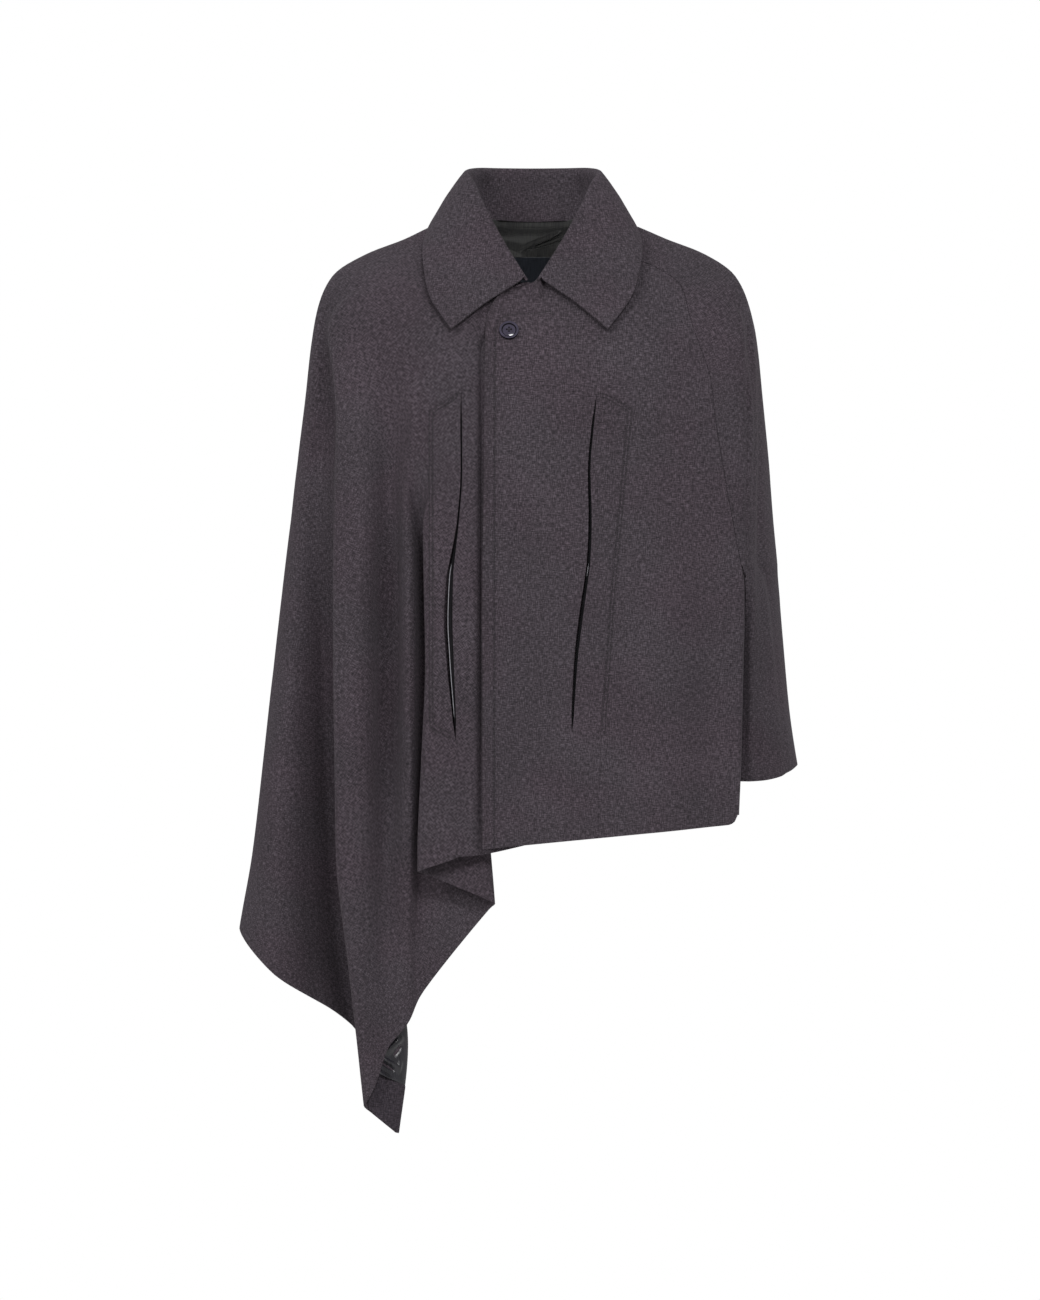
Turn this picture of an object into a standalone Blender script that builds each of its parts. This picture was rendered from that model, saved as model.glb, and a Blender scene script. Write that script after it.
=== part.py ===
"""Wool poncho: a raglan cape sleeve on the wearer's left, a long folded drape on the right.

Frame: metres, +Z up, the front faces -Y, +X is the wearer's left. The origin is the middle
of the neck base, where the neck and shoulders of whoever wears it hold the garment.

Every panel is a wall of cloth between ribs. A rib runs from the neck to the hem; its place
on each section comes from the tables below, and curves across the ribs give the columns.
"""
import math

import bpy
import bmesh
import numpy as np
from mathutils import Vector

# ---------------------------------------------------------------- driving sizes
MM = 0.001
CLOTH = 2.4 * MM              # wool coating with its pressed seams
SATIN = 1.0 * MM              # lining
FACING = 1.6 * MM             # facing of the handkerchief point
SEAM = 0.4 * MM               # space left between two pieces at a seam
OVERLAP = 4.0 * MM            # the underlap lies this far behind the placket
SLIT_IN_SINK = 2.8 * MM       # the right front comes forward again across its arm slit
SLIT_OUT_SINK = 2.0 * MM
SIDE_CLEAR = 3.8 * MM         # sleeve cloth from body cloth under the arm
TURN_REACH = 12 * MM          # cloth lent beyond a raglan seam, so both sides turn alike
TURN_BULGE = 1.0 * MM         # the body's side stands out a little as it turns at its edge
TILT = 1.1                    # how quickly a section falls from the shoulder to the chest
CHEST = 9                     # first section of the chest, which lies flat
UNDERARM = 11                 # section at which the sleeve leaves the body
COMMON = 13                   # last section shared by all panels
HEM_ROWS = 10                 # rows from that section down to the hem
ROWS = COMMON + HEM_ROWS + 1
SLEEVE_ROWS = 9               # rows of the sleeve from the underarm down

# Plain colours, linear, and roughness
WOOL = (0.060, 0.050, 0.060)
SATIN_GREY = (0.024, 0.024, 0.026)
BUTTON_COLOUR = (0.05, 0.045, 0.07)
WOOL_ROUGH = 0.9
SATIN_ROUGH = 0.5
BUTTON_ROUGH = 0.3
SHARP_EDGE = 50               # degrees

# Sections of the body from the neck down, in mm. Heights are at the front, at the shoulder
# or side, and at the back; then the half widths on the wearer's right and left, the depths
# to the front and to the back, and the power of the rounded outline.
SECTION_COLUMNS = ("front_z", "side_z", "back_z", "right", "left", "front", "back", "power")
SECTIONS = (
    (-52, 22, 16, 73, 73, 66, 68, 2.0),
    (-64, 12, 6, 104, 106, 78, 80, 2.1),
    (-78, -3, -8, 136, 142, 90, 91, 2.2),
    (-95, -19, -26, 177, 182.5, 100, 100, 2.3),
    (-115, -41, -50, 211, 213, 109, 108, 2.4),
    (-140, -73, -82, 226, 227.5, 117, 113, 2.5),
    (-170, -115, -124, 233.5, 236, 123, 116, 2.6),
    (-205, -170, -176, 239.5, 241.5, 127, 118, 2.7),
    (-250, -240, -240, 248, 248.2, 130, 119, 2.7),
    (-300, -300, -300, 253.5, 253.2, 131, 120, 2.7),
    (-346, -346, -346, 259, 257.6, 131, 120, 2.7),
    (-358, -358, -358, 260.5, 258.3, 131, 120, 2.7),
    (-405, -405, -405, 267, 258.3, 131, 121, 2.7),
    (-450, -450, -450, 272, 258.3, 132, 122, 2.7),
    (-550, -550, -550, 283, 258.3, 134, 123, 2.7),
    (-650, -650, -650, 295, 258.3, 136, 124, 2.7),
    (-750, -750, -750, 312, 258.3, 137, 125, 2.7),
    (-850, -850, -850, 320, 258.3, 138, 126, 2.7),
    (-950, -950, -950, 325, 258.3, 138, 127, 2.7),
)

# Lines on the left front, in mm across, one value for each section from the neck down to
# the 750 mm one: placket edge, the two lips of the arm slit, raglan seam and side edge.
PLACKET_EDGE = (-8, -32, -43, -48.5, -49.5, -50, -50.2, -50.4, -50.6, -51, -52, -52, -52.3,
                -52, -52, -52, -52)
LEFT_SLIT_INNER = (24, 36, 46, 54, 59, 62, 64, 61, 58, 54.5, 54, 53, 46, 42, 38, 37, 37)
LEFT_SLIT_OUTER = (26, 38, 49, 57, 62, 65, 67, 66, 64.5, 63, 63.5, 62.5, 55, 50, 42, 40, 40)
RAGLAN_FRONT = (66, 93, 128.5, 157, 164.5, 174, 185, 190, 198.5, 208, 217, 219.5, 219.5, 218.4,
                216, 213, 213)
RAGLAN_BACK = (62, 85, 115, 140, 152, 163, 175, 184, 194, 204, 213, 215.5, 215, 214, 212, 210, 210)
SLIT_TOP_ROW = 6
SLIT_FOOT_ROW = 17

# Hem heights of the left front by its ribs, from the placket to the side seam, in mm
LEFT_HEM = {"placket": -643.5, "inner": -634.5, "outer": -634, "mid": -627, "edge": -618,
            "seam": -604}
LEFT_ORDER = ("placket", "inner", "outer", "mid", "edge")
LEFT_STEPS = (4, 1, 3, 4)      # columns between these ribs
SLIT_COLUMN = 4                # column of cells that an arm slit leaves out, on both fronts
LEFT_TURN = (0.12, 0.45, 0.72, 1.0)    # shares of the body's side from the edge to the seam

# Under the arm the left body turns in to a side seam at this place across, in mm
SIDE_SEAM_X = 206.0

# The sleeve below the underarm, in mm: height, then place across and depth of each rib
SLEEVE_HEIGHTS = (-358, -382, -425, -500, -580)
SLEEVE_RIBS = {
    "crest_front": ((223.6, 223.6, 223.2, 221.5, 220), (-78, -75, -70, -63, -58)),
    "face": ((230.5, 233, 236, 239.5, 242.5), (-72, -69, -66, -60, -56)),
    "ridge": ((240, 245, 250, 256, 261), (-58, -54, -49, -44, -41)),
    "turn": ((250, 254, 258, 266, 274), (-32, -28, -25, -24, -22)),
    "contour": ((258.3, 260.3, 264.6, 271.5, 283), (4, 5, 6, 7, 8)),
    "rear": ((248, 250, 254, 260, 269), (48, 49, 50, 51, 52)),
    "crest_back": ((221.5, 222.5, 224, 226, 228), (76, 76, 77, 78, 78)),
}
SLEEVE_HEM = {"inner": -574, "crest_front": -574, "face": -573, "ridge": -569, "turn": -563,
              "contour": -557, "rear": -560, "crest_back": -566}
SLEEVE_RIDGE = (70, 100, 136, 171, 198, 219, 223.5, 226, 225, 224, 224, 224)
SLEEVE_RIDGE_PUSH = (0, 0, 0, 0, 0, 3, 6, 7, 6, 5, 4, 4)

# Folds of the right front and cape side. For each rib: across, then depth (mm), at each of
# these heights.
FOLD_HEIGHTS = (-300, -360, -450, -550, -650, -750, -850, -950)
FOLD_RIBS = {
    "pleat_a": ((-109, -108, -107, -110.5, -114, -114, -114, -114),
                (-127, -126.5, -126, -126, -127, -127, -127, -127)),
    "pleat": ((-114, -113, -111.5, -115.5, -119.5, -119.5, -119.5, -119.5),
              (-124, -121, -120, -120, -120.5, -120.5, -120.5, -120.5)),
    "pleat_b": ((-111, -108, -106, -110, -114, -114, -114, -114),
                (-119.5, -115, -114, -114, -114, -114, -114, -114)),
    "under_a": ((-107, -90, -78, -66, -51, -45, -45, -45),
                (-116.5, -112, -112, -112, -112.5, -112.5, -112.5, -112.5)),
    "under": ((-106, -85, -72, -60, -45, -39, -39, -39),
              (-113, -106.5, -106, -106, -106.5, -106.5, -106.5, -106.5)),
    "under_b": ((-110, -91, -77, -65, -50, -44, -44, -44),
                (-108, -100.5, -100, -99.5, -100, -100, -100, -100)),
    "behind": ((-119, -116.5, -115, -116, -118, -119, -119, -119),
               (-101, -90, -87, -84, -81, -80, -80, -80)),
    "roll": ((-131, -129, -128.5, -128, -130, -132, -132, -132),
             (-113, -113, -111, -105, -96, -89, -87, -86)),
    "valley": ((-149, -151, -152, -152, -152, -152, -152, -152),
               (-93, -81, -76, -76, -79, -83, -86, -86)),
    "slope": ((-180, -180, -180, -178, -175, -170, -163, -158),
              (-108, -106.5, -104, -101, -98, -95, -91, -88)),
    "ridge_a": ((-198, -199, -199, -197, -196, -186, -176, -166),
                (-104, -104, -104, -104, -103, -101, -97, -92)),
    "ridge": ((-206, -207, -207, -206, -204.5, -194, -183, -172),
              (-98, -98, -98, -98, -97, -95, -91, -87)),
    "ridge_b": ((-207, -207, -205, -203, -200, -188, -177, -165),
                (-90, -90, -88, -87, -86, -84, -81, -79)),
    "point_a": ((-206, -202, -196, -188, -177, -158, -140, -150),
                (-78, -76, -74, -72, -70, -69, -68, -70)),
    "point": ((-206, -200, -190, -180, -168, -149, -132.5, -143),
              (-66, -63, -60, -58, -57, -57, -58, -62)),
    "point_b": ((-211, -206, -197, -188, -177, -158, -140, -149),
                (-50, -44, -38, -34, -31, -34, -42, -50)),
    "outer_a": ((-226, -224, -222, -218, -214, -206, -185, -172),
                (-37, -29, -18, -8, 0, 6, 6, 0)),
    "outer_b": ((-243, -248, -255, -262, -268, -272, -272, -272),
                (-31, -32, -33, -34, -35, -36, -36, -36)),
    "contour": ((-253.5, -261, -272, -283, -295, -312, -320, -325),
                (-5, -3, -2, 0, 2, 4, 4, 4)),
    "side_seam": ((-244, -250, -259, -268, -279, -292, -300, -305),
                  (45, 47, 50, 52, 54, 56, 57, 57)),
}
# Above these heights each rib runs at a share of the half width, given by its place across
# the chest. The ridge sets in from the shoulder, the valley and the pleat beside the placket
# lower down; how far they have set in, one value for each section down to the chest.
FOLD_PLAIN = {"pleat_a": -100, "pleat": -105, "pleat_b": -109, "under_a": -113, "under": -118,
              "under_b": -123, "behind": -131, "roll": -141, "valley": -153, "slope": -180,
              "ridge_a": -198, "ridge": -206, "ridge_b": -207, "point_a": -207.5, "point": -209,
              "point_b": -214, "outer_a": -226, "outer_b": -242, "contour": -253.5,
              "side_seam": -244}
RIDGE_START = (0, 0, 0, 0, 0.15, 0.55, 0.85, 1, 1, 1)
PLEAT_ACROSS = (0, 0, 0, 0, 0, 0, 0, 0, 0.1, 1)
PLEAT_DEPTH = (0, 0, 0, 0, 0, 0, 0, 0.06, 0.35, 1)
VALLEY_START = (0, 0, 0, 0, 0, 0.1, 0.35, 0.65, 0.85, 1)
PLEAT_RIBS = ("pleat_a", "pleat", "pleat_b", "under_a", "under", "under_b", "behind")
VALLEY_RIBS = ("roll", "valley", "slope")

# Towards the shoulder the ridge leans out, by these shares of the half width, one for each
# section, and takes the ribs beside it along by its share.
RIDGE_LEAN = (0.05, 0.06, 0.07, 0.09, 0.115, 0.13, 0.08, 0.04, 0.013, 0)
LEAN_SHARE = {"behind": 0.3, "roll": 0.45, "valley": 0.6, "slope": 0.9, "ridge_a": 0.98,
              "ridge": 1, "ridge_b": 1, "point_a": 1, "point": 0.98, "point_b": 0.88,
              "outer_a": 0.62, "outer_b": 0.25}
RIGHT_HEM = {
    "underlap": -630, "placket": -649, "slit_in": -652, "slit_out": -653,
    "pleat_a": -664.5, "pleat": -667, "pleat_b": -669, "under_a": -697, "under": -701,
    "under_b": -706, "behind": -800, "roll": -828, "valley": -853, "slope": -880, "ridge_a": -908,
    "ridge": -917, "ridge_b": -921, "point_a": -938, "point": -943, "point_b": -932,
    "outer_a": -838, "outer_b": -778, "contour": -731, "side_seam": -722,
}
UNDERLAP_EDGE = (8, 16, 22, 27, 29, 30, 30, 30, 30, 30, 30, 30, 30, 30, 30, 30, 30)
RIGHT_PLACKET = (-10, -28, -39, -46, -50, -52, -52, -52, -52, -52, -52, -52, -52, -52, -52, -52, -52)
RIGHT_SLIT_INNER = (-20, -33, -45, -57, -66, -71, -74, -74, -75, -78.5, -83.5, -84.5, -85.5,
                    -85, -82, -82, -82)
RIGHT_SLIT_OUTER = (-22, -35, -48, -60, -69, -74, -77, -77.5, -79, -84, -91, -93, -95, -92, -85,
                    -85, -85)
RIGHT_ORDER = ("underlap", "placket", "slit_in", "slit_out") + tuple(FOLD_RIBS)
RIGHT_STEPS = (3, 1, 1, 1, 1, 1, 2, 1, 1, 2, 1, 1, 1, 1, 1, 1, 3, 1, 1, 2, 2, 2, 2)

# Back: ribs between the side seam on the right and the raglan seam on the left. Share of
# the half width, hem height in mm, and how far a soft fold stands out at the hem in mm.
BACK_RIBS = (
    ("r4", -0.78, -706, 9), ("r3", -0.56, -684, -8), ("r2", -0.36, -655, 8),
    ("r1", -0.16, -622, -7), ("centre", 0.03, -604, 6), ("l1", 0.24, -598, -6),
    ("l2", 0.45, -596, 6), ("l3", 0.66, -595, -3),
)
BACK_FULLNESS = (0, 5, COMMON, len(SECTIONS) - 1), (0, 0.05, 0.6, 1.3)   # sections, share
BACK_TURN = (0.12, 0.5, 1.0)
BACK_STEP = 2                  # columns between two ribs of the back

# Collar: stations from the middle of the back to the front end, in mm. Angle round the
# neck, then the roll line and the outer edge (across, depth, height).
COLLAR = (
    (180, (0, 76, 70), (0, 110, -6)),
    (150, (34, 71, 70), (51, 103, -3)),
    (120, (60, 50, 70), (90, 74, 5)),
    (92, (71, 14, 68), (102, 12, 22.5)),
    (62, (65, -20, 56), (114, -30, -6)),
    (40, (51, -44, 27), (112, -62, -34)),
    (22, (29, -62, -12), (103, -86, -66)),
    (6, (8, -76, -45), (78, -110, -101)),
)
COLLAR_RIGHT_SHIFT = -7.5      # the right point reaches further across than the left, mm
COLLAR_ROLL = 3.6 * MM         # radius of the roll
ROLL_SHARE = 0.2               # share of that shift at the roll
COLLAR_INSET = 3.6 * MM        # the stand rises just inside the neck edge
STAND_LIFT = 2.5 * MM          # foot of the stand above the neck edge, at the side
STAND_LIFT_FRONT = 2.0 * MM    # and this much more at the front
STAND_BOW = 1.0 * MM           # stand and fall are a little rounded
FALL_BOW = 0.5 * MM
FALL_LIFT = 2.0 * MM
COLLAR_REACH = (6, 60, 180), (1, 0.12, 0)   # angle, how much of the right shift applies
COLLAR_STEP = 2                # columns between two stations
COLLAR_STEPS = (2, 2, 1, 1, 2, 2)           # rows: stand, roll, fall

# Columns of the raglan seams, and the columns and rows the linings cover
FRONT_EDGE = 12
BACK_EDGE = 18
SLEEVE_INNER = (1.0, 0.66, 0.3, 0.07)   # shares of the sleeve's inner side, from its seam
SLEEVE_STEPS = (2, 2, 2, 3, 3, 3)
SLEEVE_FIRST = 4
SLEEVE_LAST = 19
YOKE_FOOT = 3
LINING_FOOT = 7
LINING_COLUMNS = (4, 15)
POINT_COLUMNS = (20, 23)       # the turned cloth at the handkerchief point
POINT_LINING_TOP = ROWS - 5
POINT_FACING_TOP = ROWS - 2

# Button: place on the left front, and its turned outline as radius and height in mm
BUTTON_X = -25.2 * MM
BUTTON_Z = -103.0 * MM
BUTTON_SIDES = 24
BUTTON_SINK = 0.95 * MM        # the panel's flat facets lie this far behind its rounded section
BUTTON_PROBE = 4 * MM          # half the length over which the cloth's lie is measured
BUTTON_PROFILE = (
    (0.0, 1.6), (6.2, 1.6), (7.0, 2.4), (8.4, 3.1), (9.6, 2.8), (10.2, 1.9), (9.6, 0.9),
    (8.2, 0.3), (0.0, 0.3),
)


# ---------------------------------------------------------------- curves and sections
def smooth(keys, values, at):
    """Value at `at` on a curve through the keys that never overshoots them."""
    keys = np.asarray(keys, float)
    values = np.asarray(values, float)
    at = min(max(at, keys[0]), keys[-1])
    step = np.diff(keys)
    slope = np.diff(values) / step
    tangent = np.zeros(len(keys))
    tangent[0] = slope[0]
    tangent[-1] = slope[-1]
    for i in range(1, len(keys) - 1):
        if slope[i - 1] * slope[i] > 0:
            tangent[i] = 2 * slope[i - 1] * slope[i] / (slope[i - 1] + slope[i])
    i = min(int(np.searchsorted(keys, at, side="right")) - 1, len(step) - 1)
    u = (at - keys[i]) / step[i]
    rise = (2 * u ** 3 - 3 * u ** 2 + 1) * values[i] + (3 * u ** 2 - 2 * u ** 3) * values[i + 1]
    turn = (u ** 3 - 2 * u ** 2 + u) * tangent[i] + (u ** 3 - u ** 2) * tangent[i + 1]
    return rise + turn * step[i]


def section(level):
    """The row of SECTIONS at a level that may lie between two rows, in metres."""
    rows = range(len(SECTIONS))
    values = [smooth(rows, [row[i] for row in SECTIONS], level) for i in range(8)]
    found = {name: value * MM for name, value in zip(SECTION_COLUMNS, values)}
    found["power"] = values[7]
    return found


def level_at(z):
    """The level of a height below the chest, where sections are flat."""
    heights = [-row[0] for row in SECTIONS]
    return float(np.interp(-z / MM, heights, range(len(heights))))


def line(values, level):
    """Place on a line that has one value in mm for each section, in metres."""
    return smooth(range(len(values)), values, level) * MM


def on_body(level, x, rear=False):
    """Point of a section at x, on the front or on the back."""
    sec = section(level)
    half = sec["left"] if x >= 0 else sec["right"]
    share = min(abs(x) / half, 1.0)
    sine = share ** (sec["power"] / 2)
    cosine = math.sqrt(max(0.0, 1 - sine * sine))
    depth = sec["back"] if rear else -sec["front"]
    low = sec["back_z"] if rear else sec["front_z"]
    y = depth * cosine ** (2 / sec["power"])
    z = sec["side_z"] + (low - sec["side_z"]) * cosine ** TILT
    return np.array((x, y, z))


def on_chest(x, z):
    """Point of the front at x and z, found by halving the levels."""
    low, high = 0.0, float(len(SECTIONS) - 1)
    for _ in range(40):
        mid = (low + high) / 2
        if on_body(mid, x)[2] > z:
            low = mid
        else:
            high = mid
    return on_body(low, x)


def through(points, steps):
    """Columns along a rounded curve through the rib points, `steps` to each stretch."""
    pts = np.asarray(points, float)
    first = 2 * pts[0] - pts[1]
    last = 2 * pts[-1] - pts[-2]
    pts = np.vstack((first, pts, last))
    knots = np.concatenate(((0,), np.cumsum(np.sqrt(np.linalg.norm(np.diff(pts, axis=0), axis=1)))))
    out = []
    for i in range(1, len(pts) - 2):
        count = steps[i - 1]
        for k in range(count):
            out.append(between(pts[i - 1:i + 3], knots[i - 1:i + 3], k / count))
    out.append(pts[-2])
    return np.array(out)


def between(p, t, share):
    """Point on the centripetal curve from p[1] to p[2]."""
    at = t[1] + (t[2] - t[1]) * share
    a1 = p[0] + (p[1] - p[0]) * (at - t[0]) / (t[1] - t[0])
    a2 = p[1] + (p[2] - p[1]) * (at - t[1]) / (t[2] - t[1])
    a3 = p[2] + (p[3] - p[2]) * (at - t[2]) / (t[3] - t[2])
    b1 = a1 + (a2 - a1) * (at - t[0]) / (t[2] - t[0])
    b2 = a2 + (a3 - a2) * (at - t[1]) / (t[3] - t[1])
    return b1 + (b2 - b1) * (at - t[1]) / (t[2] - t[1])


def rib_level(row, hem_z):
    """Level of a row on a rib whose hem is at this height, in metres."""
    if row <= COMMON:
        return float(row)
    top = SECTIONS[COMMON][0] * MM
    return level_at(top + (hem_z - top) * (row - COMMON) / HEM_ROWS)


# ---------------------------------------------------------------- walls
def normals_of(grid, sign):
    """Unit normals of a grid of points, columns first, rows going down."""
    across = np.gradient(grid, axis=0)
    down = np.gradient(grid, axis=1)
    normal = np.cross(across, down) * sign
    return normal / np.maximum(np.linalg.norm(normal, axis=2, keepdims=True), 1e-12)


def wall(name, grid, thick, colour, rough, sign=1.0, holes=()):
    """Closed wall of even thickness round the middle surface `grid`.

    holes: cells (column, row) that are left out.
    """
    normal = normals_of(grid, sign)
    faces_out = grid + normal * thick / 2
    faces_in = grid - normal * thick / 2
    columns, rows = grid.shape[:2]
    missing = set(holes)
    cells = {(i, j) for i in range(columns - 1) for j in range(rows - 1)} - missing
    mesh = bpy.data.meshes.new(name)
    bm = bmesh.new()
    made = {}

    def corner(side, i, j):
        key = (side, i, j)
        if key not in made:
            made[key] = bm.verts.new((faces_out if side else faces_in)[i, j])
        return made[key]

    def face(points):
        """Quad as two triangles, split the same way on both sides of the cloth."""
        a, b, c, d = points
        for tri in ((a, b, c), (a, c, d)):
            bm.faces.new(tri if sign > 0 else tri[::-1])

    for i, j in sorted(cells):
        ring = ((i, j), (i, j + 1), (i + 1, j + 1), (i + 1, j))
        a, b, c, d = (corner(1, *p) for p in ring)
        face((a, d, c, b))
        a, b, c, d = (corner(0, *p) for p in ring)
        face((a, b, c, d))
        for k in range(4):
            a, b = ring[k], ring[(k + 1) % 4]
            step = ((-1, 0), (0, 1), (1, 0), (0, -1))[k]
            if (i + step[0], j + step[1]) not in cells:
                face([corner(1, *a), corner(1, *b), corner(0, *b), corner(0, *a)])
    bm.normal_update()
    bm.to_mesh(mesh)
    bm.free()
    return finish(name, mesh, colour, rough)


def finish(name, mesh, colour, rough):
    """Object of a mesh, with its own plain material."""
    obj = bpy.data.objects.new(name, mesh)
    bpy.context.scene.collection.objects.link(obj)
    mesh.shade_smooth()
    mesh.set_sharp_from_angle(angle=math.radians(SHARP_EDGE))
    material = bpy.data.materials.new(name)
    material.use_nodes = True
    shader = material.node_tree.nodes["Principled BSDF"]
    shader.inputs["Base Color"].default_value = (*colour, 1)
    shader.inputs["Roughness"].default_value = rough
    shader.inputs["Metallic"].default_value = 0.0
    mesh.materials.append(material)
    return obj


# ---------------------------------------------------------------- left front
def body_side(level, depth_share, rear):
    """Side of the body under the arm: from the front or back edge (0) to the side seam (1)."""
    edge_x = line(RAGLAN_BACK if rear else RAGLAN_FRONT, level)
    edge = on_body(level, edge_x, rear)
    inward = edge_x - SIDE_SEAM_X * MM
    x = edge_x + smooth((0, 0.12, 0.5, 1), (0, TURN_BULGE, -0.45 * inward, -inward), depth_share)
    y = edge[1] * (1 - depth_share)
    return np.array((x, y, edge[2]))


def left_front_rib(name, row):
    """Middle of the cloth of one rib of the left front at a row."""
    level = rib_level(row, LEFT_HEM.get(name, LEFT_HEM["mid"]) * MM)
    lines = {"placket": PLACKET_EDGE, "inner": LEFT_SLIT_INNER, "outer": LEFT_SLIT_OUTER}
    if name in lines:
        return on_body(level, line(lines[name], level))
    edge = line(RAGLAN_FRONT, level)
    if name == "mid":
        return on_body(level, (line(LEFT_SLIT_OUTER, level) + edge) / 2)
    return on_body(level, edge - SEAM / 2)


def left_front():
    """Grid of the left front and the cells its arm slit and its turn leave out."""
    grid = []
    for row in range(ROWS):
        columns = list(through([left_front_rib(name, row) for name in LEFT_ORDER], LEFT_STEPS))
        for share in LEFT_TURN:
            if row >= UNDERARM:
                hem = LEFT_HEM["edge"] + (LEFT_HEM["seam"] - LEFT_HEM["edge"]) * share
                point = body_side(rib_level(row, hem * MM), share, False)
                point[1] -= SEAM / 2 * share
            else:
                x = line(RAGLAN_FRONT, row) + TURN_REACH * share
                point = on_body(float(row), min(x, section(row)["left"]))
            columns.append(point)
        grid.append(columns)
    grid = np.array(grid).transpose(1, 0, 2)
    slit = [(SLIT_COLUMN, row) for row in range(SLIT_TOP_ROW, SLIT_FOOT_ROW)]
    above = [(FRONT_EDGE + k, row) for k in range(len(LEFT_TURN)) for row in range(UNDERARM)]
    return grid, slit + above


# ---------------------------------------------------------------- right front and drape
def fold_rib(name, level):
    """A rib of the folds, sunk into the plain section above the folds."""
    across, depth = FOLD_RIBS[name]
    chest_half = section(CHEST)["right"]
    if level >= CHEST:
        z = on_body(level, 0.0)[2] / MM
        keys = [-h for h in FOLD_HEIGHTS]
        return np.array((smooth(keys, across, -z), smooth(keys, depth, -z), z)) * MM
    share = max(FOLD_PLAIN[name] * MM / chest_half, -1.0)
    starts = (RIDGE_START, RIDGE_START, RIDGE_START)
    if name in PLEAT_RIBS:
        starts = (PLEAT_ACROSS, PLEAT_DEPTH, PLEAT_DEPTH)
    if name in VALLEY_RIBS:
        starts = (VALLEY_START, VALLEY_START, VALLEY_START)
    rear = depth[0] > 0
    lean = smooth(range(len(RIDGE_LEAN)), RIDGE_LEAN, level) * LEAN_SHARE.get(name, 0)
    plain = on_body(level, (share - lean) * section(level)["right"], rear)
    plain_low = on_body(CHEST, share * chest_half, rear)
    moved = np.array((across[0] * MM, depth[0] * MM, plain_low[2])) - plain_low
    return plain + moved * [smooth(range(len(start)), start, level) for start in starts]


def right_front_rib(name, row):
    """Middle of the cloth of one rib of the right front at a row."""
    level = rib_level(row, RIGHT_HEM[name] * MM)
    lines = {
        "underlap": (UNDERLAP_EDGE, OVERLAP),
        "placket": (RIGHT_PLACKET, OVERLAP),
        "slit_in": (RIGHT_SLIT_INNER, SLIT_IN_SINK),
        "slit_out": (RIGHT_SLIT_OUTER, SLIT_OUT_SINK),
    }
    if name in lines:
        values, sink = lines[name]
        point = on_body(level, line(values, level))
        return point + np.array((0, sink, 0))
    point = fold_rib(name, level)
    if name == "side_seam":
        point[1] -= SEAM / 2
    return point


def right_front():
    """Grid of the right front and the cells its arm slit leaves out."""
    grid = [through([right_front_rib(name, row) for name in RIGHT_ORDER], RIGHT_STEPS)
            for row in range(ROWS)]
    grid = np.array(grid).transpose(1, 0, 2)
    slit = [(SLIT_COLUMN, row) for row in range(SLIT_TOP_ROW, SLIT_FOOT_ROW)]
    return grid, slit


# ---------------------------------------------------------------- back
def back_rib(row, share, hem, swing):
    """One rib of the back, with the soft fold that opens towards the hem."""
    level = rib_level(row, hem * MM)
    half = -fold_rib("side_seam", level)[0] if share < 0 else line(RAGLAN_BACK, level)
    point = on_body(level, share * half, True)
    loose = smooth(*BACK_FULLNESS, level)
    return point + np.array((0, swing * MM * loose, 0))


def back():
    """Grid of the back and the cells left out above the underarm."""
    grid = []
    steps = [BACK_STEP] * (len(BACK_RIBS) + 1)
    for row in range(ROWS):
        seam = right_front_rib("side_seam", row) + np.array((0, SEAM, 0))
        ribs = [seam] + [back_rib(row, *values) for _, *values in BACK_RIBS]
        level = rib_level(row, LEFT_HEM["seam"] * MM)
        edge = on_body(level, line(RAGLAN_BACK, level) - SEAM / 2, True)
        columns = list(through(ribs + [edge], steps))
        for share in BACK_TURN:
            if row >= UNDERARM:
                point = body_side(level, share, True)
                point[1] += SEAM / 2 * share
            else:
                x = line(RAGLAN_BACK, row) + TURN_REACH * share
                point = on_body(float(row), min(x, section(row)["left"]), True)
            columns.append(point)
        grid.append(columns)
    grid = np.array(grid).transpose(1, 0, 2)
    above = [(BACK_EDGE + k, row) for k in range(len(BACK_TURN)) for row in range(UNDERARM)]
    return grid, above


# ---------------------------------------------------------------- sleeve
def sleeve_point(name, row):
    """Middle of the cloth of one rib of the sleeve at a row."""
    if row < UNDERARM:
        level = float(row)
        sec = section(level)
        if name == "crest_front":
            return on_body(level, line(RAGLAN_FRONT, level) + SEAM / 2)
        if name == "crest_back":
            return on_body(level, line(RAGLAN_BACK, level) + SEAM / 2, True)
        ridge = line(SLEEVE_RIDGE, level)
        push = SLEEVE_RIDGE_PUSH[row] * MM
        if name == "face":
            return on_body(level, (line(RAGLAN_FRONT, level) * 0.5 + ridge * 0.5))
        if name == "ridge":
            return on_body(level, ridge) + np.array((0, -push, 0))
        if name == "turn":
            return on_body(level, ridge * 0.4 + sec["left"] * 0.6) + np.array((0, push, 0))
        if name == "contour":
            return on_body(level, sec["left"])
        return on_body(level, line(RAGLAN_BACK, level) * 0.45 + sec["left"] * 0.55, True)
    share = (row - UNDERARM) / SLEEVE_ROWS
    top = SLEEVE_HEIGHTS[0]
    z = top + (SLEEVE_HEM[name] - top) * share
    across, depth = SLEEVE_RIBS[name]
    keys = [-h for h in SLEEVE_HEIGHTS]
    return np.array((smooth(keys, across, -z), smooth(keys, depth, -z), z)) * MM


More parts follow.
